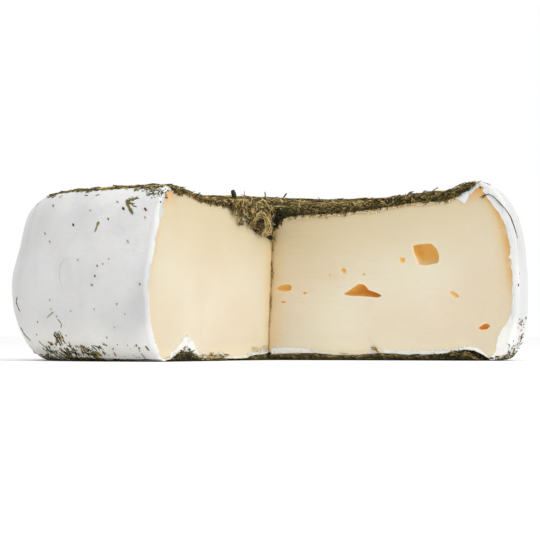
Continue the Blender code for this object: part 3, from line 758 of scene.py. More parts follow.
cheese_skin = respaced(cheese_line, SKIN_SPACING)
wall_share = np.minimum(
    (cheese_skin[:, 0] - THIN_TOP[0]) / THIN_TOP[1], (cheese_skin[:, 1] - THIN_FOOT[0]) / THIN_FOOT[1],
).clip(0, 1)
rind_depth = RIND_THIN + (RIND_THICK - RIND_OVERLAP - RIND_THIN) * wall_share
paste_line = cheese_skin - outward(cheese_skin) * rind_depth[:, None]
paste = turned("paste", paste_line, SKIN_STEPS)
cutters = [knife("knife", KNIFE_SPACING, paste_relief), slit_cutter()]
cutters += [eye_cutter(name, **sizes) for name, sizes in EYES.items()]
carve(paste, cutters)
smoothed(paste, 38)
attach(paste, "root")
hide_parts("cheese")
print("paste:", len(paste.data.polygons), "faces")

# %% [markdown]
# ## What the paste's colour has to know
#
# A material can't tell how far a point lies from the rind or from the bottom of an eye. Textures
# painted by hand could say it, but a mesh can carry a number for each of its points as well. So each
# point notes its distances in millimetres, and how orange its eye is painted there: painted shade,
# strongest deep in an eye, and weaker on the side where light falls in, which is painted lighter.

# %% Notes for the paste's colour
EYE_REACH = 1.15
EYE_FACE = 0.00012


def behind_right_face(places):
    """How far these places lie behind the right cut face."""
    along = np.hypot(places[:, 0], places[:, 1])
    face = on_right_face(along, places[:, 2])
    return (places[:, 1] - face[:, 1]) * math.cos(NOTCH_SPREAD)


def eye_tint(places):
    """How orange the paste is painted as shade: not at all on the face, most at the bottom of each eye, and
    less on its lit side.
    """
    painted_shade_share = np.zeros(len(places))
    flat = points(np.hypot(places[:, 0], places[:, 1]), places[:, 2])
    behind = behind_right_face(places)
    for sizes in EYES.values():
        ring = np.array([right_face_spot(*pixel) for pixel in sizes["outline"]])
        middle = ring.mean(0)
        reach = np.linalg.norm(ring - middle, axis=1).max() * EYE_REACH
        inside = (np.linalg.norm(flat - middle, axis=1) < reach) & (behind > EYE_FACE)
        deep = (behind[inside] / sizes["depth"]).clip(0, 1)
        # Painted light: the side of an eye given by pale is painted less orange.
        pale = np.array(sizes.get("pale", (0, 0.5))) * (1, -1)
        painted_light_side = (((flat[inside] - middle) / reach) @ pale + 0.15).clip(0, 1)
        painted_shade_share[inside] = sizes["orange"] * (0.35 + 0.65 * deep) * (1 - 0.5 * painted_light_side)
    return painted_shade_share


spots = points_of(paste)
radius, angle = np.hypot(spots[:, 0], spots[:, 1]), np.arctan2(spots[:, 1], spots[:, 0])
moulded_radius = radius / spread(angle, spots[:, 2], np.minimum(1, radius / DISH_RADIUS))
skin_radius = np.interp(spots[:, 2], wall_line[::-1, 1], wall_line[::-1, 0])
distances = {
    "from_side": skin_radius - moulded_radius,
    "from_top": line_height(seat_line, spots) - spots[:, 2],
    "from_sole": spots[:, 2] - line_height(floor_line, spots),
    "from_axis": radius,
}
for name, distance in distances.items():
    note(paste, name, distance * 1000)
note(paste, "eye_tint", eye_tint(spots))
from_crease = np.hypot(*(spots - crease_middle(spots[:, 2]))[:, :2].T)
note(paste, "crease", window(from_crease, 0, slit_width(spots[:, 2]) * 0.6 + 0.0003))
print("the paste carries these notes:", [*distances, "eye_tint", "crease"])

# %% [markdown]
# ## The rind
#
# White mould makes a skin of a millimetre or two, firm and powdery, that tears unevenly where the
# knife goes through it. Solidify would give it an even edge. Instead it is built as a stack of ribs:
# each rib goes down the outer side and back up the inner side, the ribs follow each other round the
# wheel from one cut to the other, and noise wears away the first and the last.

# %% Ribs of the rind
RIND_SPACING = 0.0009
RIND_STATIONS = 0.0019
RIND_END = math.radians(5)
RIND_ARC = math.radians(266)
EDGE_STEPS = np.array([0, 0.0003, 0.0007, 0.0012, 0.0018, 0.0026, 0.0036])
LIP_WEAR = 0.0005


def shell(name, ribs):
    """A closed shell from ribs that each go down the outer side and back up the inner side."""
    count, columns = ribs.shape[:2]
    half = columns // 2
    down = np.arange(half)
    ends = []
    for first in (0, (count - 1) * columns):
        outer, inner = first + down, first + columns - 1 - down
        ends.append(np.stack([outer[:-1], outer[1:], inner[1:], inner[:-1]], -1))
    quads = np.concatenate([grid_quads(count, columns, round_columns=True), *ends])
    return new_piece(name, ribs, quads)


low_foot = foot(np.linspace(FOOT_COAT_END, RIND_END, 20))
rind_line = respaced(np.concatenate([lip_line, wall_line[1:], low_foot[1:]]), RIND_SPACING)
rind_radius, rind_height = rind_line.T
rind_out = outward(rind_line)
arc = RIND_ARC * BELLY_RADIUS
between = np.linspace(EDGE_STEPS[-1], arc - EDGE_STEPS[-1], round(arc / RIND_STATIONS))
stations = np.concatenate([EDGE_STEPS, between[1:-1], arc - EDGE_STEPS[::-1]]) / arc
from_end = np.minimum(stations, 1 - stations)[:, None] * arc


def rind_end(along, height, face, start):
    """The angle at which each point of the section meets a cut, with the torn edge's unevenness."""
    edge = face(along, height)
    worn = LIP_WEAR * layered(points(along, height), ((1, 0.0045, start), (0.4, 0.0016, start)))
    return np.arctan2(edge[:, 1], edge[:, 0]) % TURN, worn / along


right_end, right_worn = rind_end(rind_radius, rind_height, on_right_face, 3.0)
left_end, left_worn = rind_end(rind_radius, rind_height, on_left_face, 9.0)
right_end = right_end + right_worn - 0.0001 / rind_radius
left_end = left_end - left_worn + 0.00015 / rind_radius
rib_angle = right_end + (left_end - right_end) * stations[:, None]
print("rind:", len(stations), "ribs of", 2 * len(rind_line), "points")

# %% [markdown]
# ## The rind's relief
#
# Mould isn't smooth: it swells in soft waves a few centimetres long, with finer ones on them, and it
# rolls over a little where the knife has dragged it. A Displace modifier would push the whole shell,
# inner side too. Here the waves move only the outer points of each rib, and the inner ones follow the
# rind's uneven thickness. Near the floor the waves fade, so that the wheel stands flat.

# %% Rind
RIND_WAVES = ((0.00042, 0.026, 5.0), (0.00016, 0.0085, 6.0), (0.00006, 0.003, 7.0))
LIP_DROP = 0.0004
LIP_DROP_REACH = 0.0007
LIP_ROLL = 0.00035
FLAT_BELOW = 0.008
FLOOR_PROUD = 0.0003

waves = layered(around(rind_radius, rib_angle, rind_height), RIND_WAVES)
waves = waves - LIP_DROP * np.exp(-from_end / LIP_DROP_REACH) + LIP_ROLL * window(from_end, 0.0016, 0.0011)
near_floor = (1 - rind_height / FLAT_BELOW).clip(0, 1)
waves = waves * (1 - near_floor) + FLOOR_PROUD * near_floor
thick = RIND_THICK + layered(rind_line, ((0.0004, 0.007, 2.0),))
thick = thick + np.exp(-from_end / 0.002) * layered(rind_line, ((0.0005, 0.0026, 4.0),))


def pushed_out(distance):
    """The ribs' points, moved out of the section by this distance, and settled."""
    line = rind_line + rind_out * distance[..., None]
    places = settle(around(line[..., 0], rib_angle, line[..., 1]))
    places[..., 2] = np.maximum(places[..., 2], 0.0)
    return places


rind = shell("rind", np.concatenate([pushed_out(waves), pushed_out(-thick)[:, ::-1]], axis=1))
smoothed(rind, 60)
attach(rind, "root")
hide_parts("cheese")
print("rind:", len(rind.data.polygons), "faces")

# %% [markdown]
# ## Where the mould is whiter and greyer
#
# Fresh mould is white, and so is a torn lip, because the knife has opened it. Old mould that was
# pressed or handled turns grey in soft clouds. Low on the right side the mould is also painted whiter,
# which is painted light, and the right shoulder above it is painted greyer, which is painted shade.
# Each point of the rind notes how white and how grey it is, and the material reads both.

# %% Notes for the rind's colour
LIP_WHITE = 0.2
LOW_LIP_WHITE = 0.9
# Painted light: how much whiter the mould is made low on the right side, and how far round that reaches.
PAINTED_LIGHT_RIGHT = 0.35
PAINTED_LIGHT_RIGHT_REACH = 0.034
# Painted shade: how much greyer the right shoulder is made, and how far round that reaches.
PAINTED_SHADE_SHOULDER = 0.5
PAINTED_SHADE_SHOULDER_REACH = 0.04
# Where older mould is greyer: how far round from the left cut, how high, how far it reaches, and how grey
GREY_PATCHES = ((0.014, 0.016, 0.015, 0.45), (0.086, 0.068, 0.016, 0.6), (0.052, 0.02, 0.016, 0.25),
                (0.1, 0.036, 0.016, 0.3), (0.3, 0.05, 0.024, 0.3), (0.43, 0.022, 0.022, 0.3))
PATCH_FLATNESS = 0.8

low_down = window(rind_height, 0.006, 0.011)
high_up = ((rind_height - 0.04) / 0.016).clip(0, 1)
from_right = stations[:, None] * arc
lip = (LIP_WHITE + (LOW_LIP_WHITE - LIP_WHITE) * low_down) * window(from_end, 0, 0.0013 + 0.005 * low_down)
# Painted light: low down near the right cut, the mould is made whiter.
lip = np.maximum(lip, PAINTED_LIGHT_RIGHT * (1 - high_up) * window(from_right, 0, PAINTED_LIGHT_RIGHT_REACH))
# Painted shade: the mould on the right shoulder is made greyer. The patches below are old mould.
grey = PAINTED_SHADE_SHOULDER * high_up * window(from_right, 0, PAINTED_SHADE_SHOULDER_REACH)
for place, height, reach, strength in GREY_PATCHES:
    patch = window(arc - from_right, place, reach) * window(rind_height, height, reach * PATCH_FLATNESS)
    grey = np.maximum(grey, strength * patch)
note(rind, "lip", np.concatenate([lip, 0 * lip + LIP_WHITE], axis=1))
note(rind, "grey", np.concatenate([grey, 0 * grey], axis=1))
print(f"whitest {lip.max():.2f}, greyest {grey.max():.2f}")

# %% [markdown]
# ## The rind round the cut faces
#
# The same mould grew where the needles lie, but thinner, and the knife shows it as a broken white
# line between paste and needles. In places it has smeared over the needles below, and soft paste
# hangs over them in two drops and a low hem. Down the outer edge of each cut the knife has dragged
# the thick rind a little way over the paste. Each of these is a thin strip along an edge of a cut
# face. A few stations say how far it reaches into the paste and out over the needles; noise breaks it
# up.

# %% Rind round the cut faces
STRIP_SPACING = 0.0005
STRIP_DEPTHS = (-0.00014, 0.0007, 0.004)
STRIP_TEAR = 0.0006
STRIP_SQUEEZE = 0.09
BY_RADIUS, BY_HEIGHT = 0, 1
side_line = np.concatenate([wall_line, low_foot[1:]])

# Where each station lies along the strip, and how far the strip reaches into the paste and out of it, in mm
STRIPS = {
    "rind_left_top": (on_left_face, seat_line, BY_RADIUS, (
        (30, 0.3, 0.1), (80, 0.5, 0.1), (94, 0.4, 0.1), (99, 0.5, 0.1), (104, 0.5, 0.2), (108, 0.3, 0.2))),
    "rind_right_top": (on_right_face, seat_line, BY_RADIUS, (
        (4, 0.6, 0.1), (8, 1.2, 0.2), (12, 0.6, 0.1), (15, 2.0, 0.2), (20, 1.6, 0.3), (25, 0.8, 0.1),
        (30, 1.4, 0.1), (36, 0.9, 0.1), (40, 1.2, 0.2), (44, 0.8, 0.1), (48, 1.2, 0.1), (53, 2.1, 0.2),
        (58, 1.6, 0.3), (62, 0.7, 0.1), (70, 0.6, 0.1), (76, 0.8, 0.1), (80, 1.5, 0.3), (84, 0.7, 0.1),
        (88, 1.6, 0.3), (92, 0.9, 0.2), (96, 0.6, 0.1))),
    "rind_right_corner": (on_right_face, seat_line, BY_RADIUS, (
        (95, 0.4, 0.1), (96.8, 2.0, 0.8), (98.2, 4.4, 1.0), (99.2, 5.0, 1.0), (100.4, 3.6, 0.9),
        (101.4, 1.6, 0.8), (102.2, 0.4, 0.5), (106, 0.8, 0.3))),
    "rind_left_bottom": (on_left_face, bottom_line, BY_RADIUS, (
        (1, 3.4, 0.5), (6, 3.6, 0.6), (9, 2.6, 0.5), (14, 1.0, 0.1), (20, 1.6, 0.4), (24, 0.6, 0.3),
        (45, 0.3, 0.3), (49, 2.0, 1.0), (52, 2.8, 0.5), (54, 1.2, 0.4), (60, 0.4, 0.5), (70, 0.8, 0.4),
        (77, 2.2, 0.8), (82, 2.8, 1.6), (87, 2.6, 2.0), (91, 2.4, 1.4), (95, 2.6, 1.0), (98.5, 2.8, 0.8),
        (101.5, 2.2, 1.2), (102.5, 0.6, 2.2))),
    "rind_right_bottom": (on_right_face, bottom_line, BY_RADIUS, (
        (1, 2.0, 0.8), (5, 2.8, 0.7), (16, 2.6, 0.4), (24, 1.2, 0.2), (28, 0.3, 0.1), (35, 0.1, 0.1),
        (45, 0.1, 0.1), (50, 0.5, 0.1), (57, 1.3, 0.3), (68, 1.0, 1.0), (83, 0.9, 0.8), (90, 0.9, 0.8),
        (95, 0.5, 0.4), (101, 0.9, 0.8), (106, 0.9, 0.9), (109, 0.8, 0.7), (112, 0.5, 0.3))),
    "rind_left_side": (on_left_face, side_line, BY_HEIGHT, (
        (1, 2.6, 0), (4, 1.4, 0), (8, 0.5, 0), (13, 0.5, 0), (19, 0.8, 0), (30, 1.0, 0), (45, 1.7, 0),
        (60, 2.0, 0), (65.5, 2.2, 0), (67.4, 3.0, 0), (69.2, 4.8, 0), (71, 3.6, 0), (73, 1.8, 0),
        (78, 1.0, 0))),
    "rind_right_side": (on_right_face, side_line, BY_HEIGHT, (
        (0.5, 3.2, 0.2), (3, 4.0, 0.2), (5.5, 5.4, 0.2), (8, 6.0, 0.2), (11.5, 5.4, 0.2), (16, 3.8, 0.2),
        (20, 2.6, 0.2), (26, 1.8, 0.2), (41, 1.8, 0.2), (43, 2.6, 0.1), (44.5, 2.0, 0), (46.6, 2.0, 0),
        (47.8, 3.4, 0), (49, 2.1, 0), (58, 2.0, 0), (63, 2.6, 0), (68, 3.8, 0), (73, 4.8, 0), (77, 4.6, 0),
        (80, 3.4, 0))),
    "paste_drop_inner": (on_left_face, bottom_line, BY_RADIUS, (
        (21, 0.2, 0.2), (24, 0.6, 2.2), (35, 0.6, 2.4), (44, 0.6, 2.2), (47.5, 0.2, 0.4))),
    "paste_drop_outer": (on_left_face, bottom_line, BY_RADIUS, (
        (100.5, 0.2, 1.2), (102, 0.3, 2.8), (109, 0.3, 2.8))),
    "paste_hem": (on_right_face, bottom_line, BY_RADIUS, (
        (23, 0.2, 0.2), (28, 0.3, 0.7), (35, 0.4, 1.2), (45, 0.4, 1.0), (52, 0.3, 0.4), (56, 0.2, 0.2))),
}


def settled_on(face, section):
    """The settled radius and height of points of the section, at this cut."""
    turn = NOTCH_SPREAD if face is on_right_face else -QUARTER
    settled = settle(around(section[:, 0], turn, section[:, 1]))
    return np.hypot(settled[:, 0], settled[:, 1]), settled[:, 2].clip(0.0002, None)


def strip(name, face, line, by, stations, start):
    """A thin ragged strip along one edge of a cut face, whose stations go by radius or by height."""
    at, into, over = np.array(stations).T / 1000
    line = respaced(line, STRIP_SPACING)
    out = outward(line)
    kept = (line[:, by] > at[0]) & (line[:, by] < at[-1])
    line, out = line[kept], out[kept]
    where = points(line[:, by], 0.0)
    torn = layered(where, ((1, 0.005, start), (0.6, 0.0021, start), (0.3, 0.0009, start)))
    reach = np.interp(line[:, by], at, into)
    inner = line - out * (reach + STRIP_TEAR * torn).clip(0.2 * reach, None)[:, None]
    outer = line + out * (np.interp(line[:, by], at, over) * (1 + 0.4 * torn).clip(0.6, 1.3))[:, None]
    ribs = []
    for depth in STRIP_DEPTHS:
        squeeze = 0.0 if depth > 0 else STRIP_SQUEEZE
        near, far = outer + (inner - outer) * squeeze, inner + (outer - inner) * squeeze
        proud = 0.0001 * lumps(where, 0.002, start) - depth
        near, far = face(*settled_on(face, near), proud), face(*settled_on(face, far), proud)
        ribs.append(np.concatenate([near, far[::-1]]))
    return shell(name, np.array(ribs))


strips, drops = [], []
for start, (name, sizes) in enumerate(STRIPS.items()):
    made = strip(name, *sizes, 11.0 + start)
    smoothed(made, 35)
    note(made, "lip", 0.5 * LOW_LIP_WHITE * window(points_of(made)[:, 2], 0.005, 0.01))
    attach(made, "root")
    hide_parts("cheese")
    if name.startswith("rind"):
        strips.append(made)
    else:
        drops.append(made)
print("strips:", [made.name for made in strips + drops])


def hidden_by(names, along):
    """How far strips reach over the needles at these distances from the axis."""
    hidden = np.zeros(len(along))
    for name in names:
        at, _, over = np.array(STRIPS[name][3]).T / 1000
        hidden = np.maximum(hidden, np.interp(along, at, over, left=0, right=0))
    return hidden


# %% [markdown]
# ## The beds of needles
#
# A bed is thousands of needles felted together. Building every one would be slow and mostly hidden,
# so each bed has a dark, lumpy core a little smaller than its solid, and real needles lie all over
# it. The core's section is the solid's own, and the knife that cuts it is rougher.

# %% Cores of the two beds
CORE_INSET = 0.0006
# Relief of the cores and of their cut edge: height, size of its lumps, and where its noise starts
CORE_LUMPS = ((0.0007, 0.006, 31.0), (0.00035, 0.0025, 32.0))
FELT_LUMPS = ((0.0009, 0.004, 21.0), (0.0005, 0.0016, 22.0))
FELT_SET_BACK = 0.0009
CORE_SPACING = 0.0016
CORE_STEPS = 260
ROUGH_SPACING = 0.0011


def rough_cut(places):
    """The felted edge: deep lumps, set back from the cut so that needles stand before it."""
    return layered(places, FELT_LUMPS) - FELT_SET_BACK


def bed_core(name, inner, outer):
    """The core of a bed between these two section lines, which both run outwards."""
    made = turned(name, respaced(np.concatenate([outer, inner[::-1]]), CORE_SPACING), CORE_STEPS)
    places = points_of(made)
    places[:, 2] += layered(places, CORE_LUMPS)
    places[:, 2] = np.maximum(places[:, 2], 0.0001)
    made.data.vertices.foreach_set("co", places.astype(np.float32).ravel())
    carve(made, [knife("rough_knife", ROUGH_SPACING, rough_cut)])
    made.data.shade_smooth()
    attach(made, "root")
    return made


rim_share = np.linspace(0, 1, 12)
rim_coat = shoulder(QUARTER + (SHOULDER_COAT_END - QUARTER) * rim_share, 0.0004 + 0 * rim_share)
core_top_line = np.concatenate([
    points(share * DISH_RADIUS, dish_height(share * DISH_RADIUS) - CORE_INSET), rim_coat[1:],
])
core_seat_line = seat_line + (0, 0.0001)
top_core = bed_core("bed_top", core_seat_line, core_top_line)
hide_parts("needle_coat_top")

heel_share = np.linspace(0, 1, 14)
core_heel = foot(FOOT_COAT_END * heel_share, 0.0011 * heel_share) + (0, 0.0002)
core_floor_line = np.concatenate([[[0, 0.0002]], core_heel])
core_sole_line = floor_line - (0, 0.0003)
bottom_core = bed_core("bed_bottom", core_floor_line, core_sole_line)
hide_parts("needle_coat_bottom")
print("cores:", len(top_core.data.polygons), "and", len(bottom_core.data.polygons), "faces")

# %% [markdown]
# ## One needle, many needles
#
# A larch needle is soft, flat and under a millimetre wide. A rod with four sides and a few joints is
# enough: it can bend, it tapers to its tip, and it costs 20 triangles. All the needles of a kind are
# one mesh, made from an array of the lines that they follow, with a width and a tone for each needle.

# %% Needles
JOINTS = np.array([0, 0.5, 1])
FLATNESS = 0.55


def bent(roots, tips, bends):
    """The lines of needles from their roots to their tips, with their middles moved by bends."""
    along = JOINTS[:, None]
    return roots[:, None] + (tips - roots)[:, None] * along + bends[:, None] * (4 * along * (1 - along))


def taper(joints):
    """How wide a needle is at each joint, as a share of its full width."""
    along = np.linspace(0, 1, joints)
    return np.interp(along, (0, 0.3, 0.7, 1), (0.7, 1, 0.92, 0.4))


def drawn(values, count):
    """These values, or random ones where they are given as a pair of limits."""
    return draws.uniform(*values, count) if isinstance(values, tuple) else np.array(values)


def either(count, share, first, second):
    """Random tones: a share of them between the first two limits, the others between the second."""
    return np.where(draws.uniform(0, 1, count) < share, drawn(first, count), drawn(second, count))


def felted(name, lines, widths, tones, stands_for=None):
    """One mesh of many needles, each along its own line of joints."""
    lines = np.array(lines)
    count, joints = lines.shape[:2]
    widths, tones = drawn(widths, count), drawn(tones, count)
    way = np.gradient(lines, axis=1)
    way /= np.linalg.norm(way, axis=2, keepdims=True)
    side = np.cross(way, draws.normal(size=(count, 1, 3)))
    side /= np.linalg.norm(side, axis=2, keepdims=True)
    flat = np.cross(way, side) * FLATNESS
    half = (widths[:, None] / 2 * taper(joints))[..., None]
    rims = np.stack([side * half, flat * half, -side * half, -flat * half], axis=2)
    places = lines[:, :, None] + rims
    places[..., 2] = np.maximum(places[..., 2], 0.0)
    last = 4 * joints - 4
    one = np.concatenate([grid_quads(joints, 4, round_columns=True), [[3, 2, 1, 0], np.arange(4) + last]])
    quads = (one[None] + np.arange(count)[:, None, None] * 4 * joints).reshape(-1, 4)
    made = new_piece(name, places, quads)
    note(made, "tone", np.repeat(tones, 4 * joints))
    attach(made, "root")
    if stands_for:
        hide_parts(stands_for)
    print(name, count, "needles,", len(quads) * 2, "triangles")
    return made


def overhang(places):
    """How far these places reach out over the missing quarter: negative over the cheese."""
    x, y, z = places[..., 0], places[..., 1], places[..., 2]
    return np.minimum(x - left_lean(-y, z), x * math.tan(NOTCH_SPREAD) - y)


def lengths(count, shortest, usual, longest):
    """Random lengths about the usual one."""
    return (usual * np.exp(draws.normal(0, 0.42, count))).clip(shortest, longest)


print("a needle costs", 8 * len(JOINTS) - 4, "triangles")

# %% [markdown]
# ## Needles on top
#
# Seen from above, the bed is a mat in which needles lie flat, in every direction and several deep.
# Random places spread evenly over a disc need the square root of a random number for the radius.
# Needles that would reach too far over the missing quarter are left out, because the knife took them.

# %% Needles on top
TOP_NEEDLES = {"dark": (6000, 0.0, 0.3), "olive": (6000, 0.25, 0.62), "straw": (2400, 0.66, 1.0)}
BED_EDGE = 0.1075


def lying_needles(count):
    """Lines of needles that lie on the top bed."""
    radius = BED_EDGE * np.sqrt(draws.uniform(0, 1, count))
    angle = draws.uniform(0, TURN, count)
    middle = points(radius * np.cos(angle), radius * np.sin(angle))
    heading = draws.uniform(0, TURN, count)
    half = lengths(count, 0.003, 0.0085, 0.019) / 2
    step = points(np.cos(heading), np.sin(heading)) * half[:, None]
    level = draws.uniform(-0.0009, 0.0004, count)
    ends = []
    for flat in (middle - step, middle + step):
        far = np.hypot(flat[:, 0], flat[:, 1])
        flat = flat * np.minimum(1, BED_EDGE / far)[:, None]
        height = line_height(coat_line, flat) + level + draws.normal(0, 0.0004, count)
        ends.append(np.concatenate([flat, height[:, None]], 1))
    kept = (overhang(ends[0]) < 0.0006) & (overhang(ends[1]) < 0.0012)
    bends = draws.normal(0, 0.0007, (count, 3)) * (1, 1, 0.4)
    return bent(ends[0][kept], ends[1][kept], bends[kept])


for kind, (count, *tone_limits) in TOP_NEEDLES.items():
    lines = lying_needles(count)
    felted(f"needles_top_{kind}", lines, (0.0005, 0.0009), tuple(tone_limits), "needle_coat_top")

# %% [markdown]
# ## Needles along the cuts
#
# The knife sliced through the beds, so their edges show cut ends and short pieces, most of them lying
# along the face. They are placed by distance from the axis and by height in the bed, and turned
# within the face. At the bottom of the left face, a fold of rind and two drops of soft paste hide
# them, so no needles lie there.

# %% Needles along the cuts
def mixed_tones(count, darkest=0.0, lightest=1.0):
    """Tones for mixed needles: some almost black, most olive or brown, and some straw."""
    kind = draws.uniform(0, 1, count)
    olive, straw = draws.uniform(0.25, 0.62, count), draws.uniform(0.7, 1, count)
    tones = np.where(kind < 0.46, draws.uniform(0, 0.1, count), np.where(kind < 0.78, olive, straw))
    return darkest + (lightest - darkest) * tones


def edge_needles(face, count, low_line, high_line, reach, steepness, strips_over, top):
    """Lines of short needles in the edge of a bed at a cut face, clear of the strips over it, and their tones,
    with painted shade low down and by the axis.
    """
    along = draws.uniform(0.001, reach, count)
    low, high = edge_height(low_line, face, along), edge_height(high_line, face, along)
    hidden = hidden_by(strips_over, along)
    low, high = (low + hidden * 0.8, high) if top else (low, high - hidden)
    high = high - (0 if top else BOTTOM_WAVE) * (1 + lumps(points(along, 0.0), 0.009, 61.0))
    kept = high - low > 0.0003
    along, low, high = along[kept], low[kept], high[kept]
    count = len(along)
    height = low + (high - low) * draws.uniform(0, 0.96, count)
    length = lengths(count, 0.001, 0.0027, 0.008)
    turn = draws.normal(0, steepness, count)
    proud = draws.uniform(-0.0012, 0.0006, count)
    lean = draws.normal(0, 0.0006, count)
    step = np.cos(turn) * length / 2
    climb = (np.sin(turn) * length / 2).clip(-0.45 * (high - low) - 0.0004, 0.45 * (high - low) + 0.0004)
    climb = np.where(draws.uniform(0, 1, count) < 0.96, climb.clip(height - high, high - height), climb)
    roots = face((along - step).clip(0.0004, None), height - climb, proud - lean)
    tips = face(along + step, height + climb, proud + lean)
    share = ((height - low) / (high - low)).clip(0, 1)
    # Painted shade: needles of the top bed near the axis are made darker, in the corner between the faces.
    painted_corner_shade = 1 - 0.75 * window(along, 0.002, 0.009) if top else 1
    # Painted shade and light: lower needles in an edge are made darker and higher ones lighter.
    painted_light_and_shade = LOWEST_TONE[top] + (HIGHEST_TONE[top] - LOWEST_TONE[top]) * share
    tones = mixed_tones(count) * painted_light_and_shade * painted_corner_shade
    return bent(roots, tips, draws.normal(0, 0.0003, (count, 3))), tones.clip(0, 1)


def fringe(face, count, first, last):
    """Lines of brown needle ends that hang from the top bed's edge over the paste."""
    along = draws.uniform(first, last, count)
    height = edge_height(seat_line, face, along) + draws.uniform(0.0, 0.0014, count)
    turn = draws.normal(-QUARTER, 0.6, count)
    length = lengths(count, 0.0008, 0.0014, 0.003)
    proud = draws.uniform(0.0002, 0.0006, count)
    roots = face(along, height, proud)
    far_along = (along + np.cos(turn) * length).clip(0.0004, None)
    tips = face(far_along, height + np.sin(turn) * length, proud + 0.0002)
    return bent(roots, tips, draws.normal(0, 0.0002, (count, 3)))


BOTTOM_WAVE = 0.0004
# The tones of the lowest and the highest needles in an edge, for the top bed and for the bottom one: painted
# shade low down, painted light high up
LOWEST_TONE = {True: 0.35, False: 0.05}
HIGHEST_TONE = {True: 1.25, False: 0.95}
# For each edge: its face, how many needles are tried, the section lines under and over it, how far out
# it goes, how steeply its needles lie, the strips that hang over it, and whether it is the top bed's
EDGES = {
    "cut_left": (on_left_face, 3300, seat_line, coat_line, 0.107, 0.8, ("rind_left_top",), True),
    "cut_right": (on_right_face, 3900, seat_line, coat_line, 0.105, 0.8,
                  ("rind_right_top", "rind_right_corner"), True),
    "sole_left": (on_left_face, 1900, under_line, floor_line, 0.108, 0.6,
                  ("rind_left_bottom", "paste_drop_inner", "paste_drop_outer"), False),
    "sole_right": (on_right_face, 2900, under_line, floor_line, 0.118, 0.6,
                   ("rind_right_bottom", "paste_hem"), False),
}
for name, sizes in EDGES.items():
    lines, tones = edge_needles(*sizes)
    stands_for = "needle_coat_top" if sizes[-1] else "needle_coat_bottom"
    felted("needles_" + name, lines, (0.00035, 0.00075), tones, stands_for)

lines = np.concatenate([fringe(on_left_face, 380, 0.04, 0.1), fringe(on_right_face, 50, 0.004, 0.098)])
brown = either(len(lines), 0.5, (0.46, 0.66), (0, 0.2))
felted("needles_fringe", lines, (0.0004, 0.0007), brown, "needle_coat_top")

# %% [markdown]
# ## Needles on the rim and the foot
#
# Both beds end ragged: past the rim and up the foot the needles grow sparse, and single ones stick to
# the mould. Here a needle's place is an angle round the wheel and a place down the section. How
# thickly they lie changes round the wheel, with dense tufts at a few angles.

# %% Needles on the rim and the foot
# Angle round the wheel in degrees, how far the tuft reaches round, and how thickly the needles lie
FOOT_TUFTS = ((245, 8, 1.0), (232, 7, 0.45), (222, 5, 0.15), (17, 6, 0.5), (60, 14, 0.7), (112, 10, 0.8),
              (150, 16, 0.5), (190, 12, 0.9))
SIDE_RADIUS, SIDE_ROUND = 0.115, 0.022
RIM_TUFTS = ((230, 9, 0.7), (247, 9, 0.5), (265, 5, 1.0), (75, 16, 0.8), (130, 20, 0.6), (180, 18, 0.8))


def thickness_round(angle, tufts):
    """How thickly the needles lie at this angle, from the tufts that reach it."""
    total = 0.04 + 0 * angle
    for centre, reach, strength in tufts:
        near = window(angle_from(angle, math.radians(centre)), 0, math.radians(reach))
        total = np.maximum(total, strength * near)
    return total


def stuck_needles(count, section, tufts, usual, slant, over):
    """Lines of needles stuck to the wheel's side. Their section angles come from section(count)."""
    angle = draws.uniform(math.radians(5), math.radians(269), count)
    place = section(count)
    kept = draws.uniform(0, 1, count) < thickness_round(angle, tufts)
    angle, place = angle[kept], place[kept]
    count = len(angle)
    heading = draws.normal(slant, 0.6, count)
    half = lengths(count, 0.001, usual, 0.009) / 2
    bend = draws.normal(0, 0.16, count) * half
    lines = []
    for share in (JOINTS * 2 - 1):
        round_step = (np.cos(heading) * share * half + np.sin(heading) * bend * (1 - share ** 2)) / SIDE_RADIUS
        down_step = (np.sin(heading) * share * half - np.cos(heading) * bend * (1 - share ** 2)) / SIDE_ROUND
        spot = over(place + down_step)
        turn = angle + round_step
        lines.append(settle(around(spot[:, 0], turn, spot[:, 1])))
    return np.stack(lines, 1)


def on_foot(angle):
    """Places just proud of the foot's skin."""
    return foot(angle.clip(0.02, 1.5), np.full(len(angle), -0.0003))


def on_shoulder(angle):
    """Places just proud of the shoulder's skin."""
    return shoulder(angle.clip(0.1, QUARTER), np.full(len(angle), -0.0003))


def foot_places(count):
    """Section angles that crowd towards the floor."""
    return 0.08 + draws.exponential(0.13, count).clip(0, 0.9)


def rim_places(count):
    """Section angles that crowd towards the rim."""
    return QUARTER - draws.exponential(0.075, count).clip(0, 0.8)


lines = stuck_needles(5600, foot_places, FOOT_TUFTS, 0.0034, -0.9, on_foot)
felted("needles_foot", lines, (0.0004, 0.0008), mixed_tones(len(lines), 0, 0.6), "needle_coat_bottom")
lines = stuck_needles(6500, rim_places, RIM_TUFTS, 0.0028, 0.2, on_shoulder)
felted("needles_rim", lines, (0.0004, 0.0008), mixed_tones(len(lines)), "needle_coat_top")

# %% [markdown]
# ## Sight lines onto the cheese
#
# Small things in the picture are best placed where they are seen. Their pixels are carried along
# their sight lines onto the cheese with a BVH tree, the same search tree that ray tracing uses.
# Guessing their places in three dimensions would take many more tries. A pixel that just misses it is
# nudged towards the middle of the picture.

# %% Sight lines onto the cheese
NUDGE = (0.5, 0.2)
SMOOTHING_POINTS = 60
SMOOTHING_ROUNDS = 24

graph = bpy.context.evaluated_depsgraph_get()
trees = [BVHTree.FromObject(piece, graph) for piece in (rind, paste)]


def seen_at(column, row):
    """The place, normal and distance of what the camera sees of the cheese at this pixel."""
    start, way = pixel_ray(column, row)
    hits = [tree.ray_cast(start, way) for tree in trees]
    return min(hits, key=lambda hit: np.inf if hit[3] is None else hit[3])


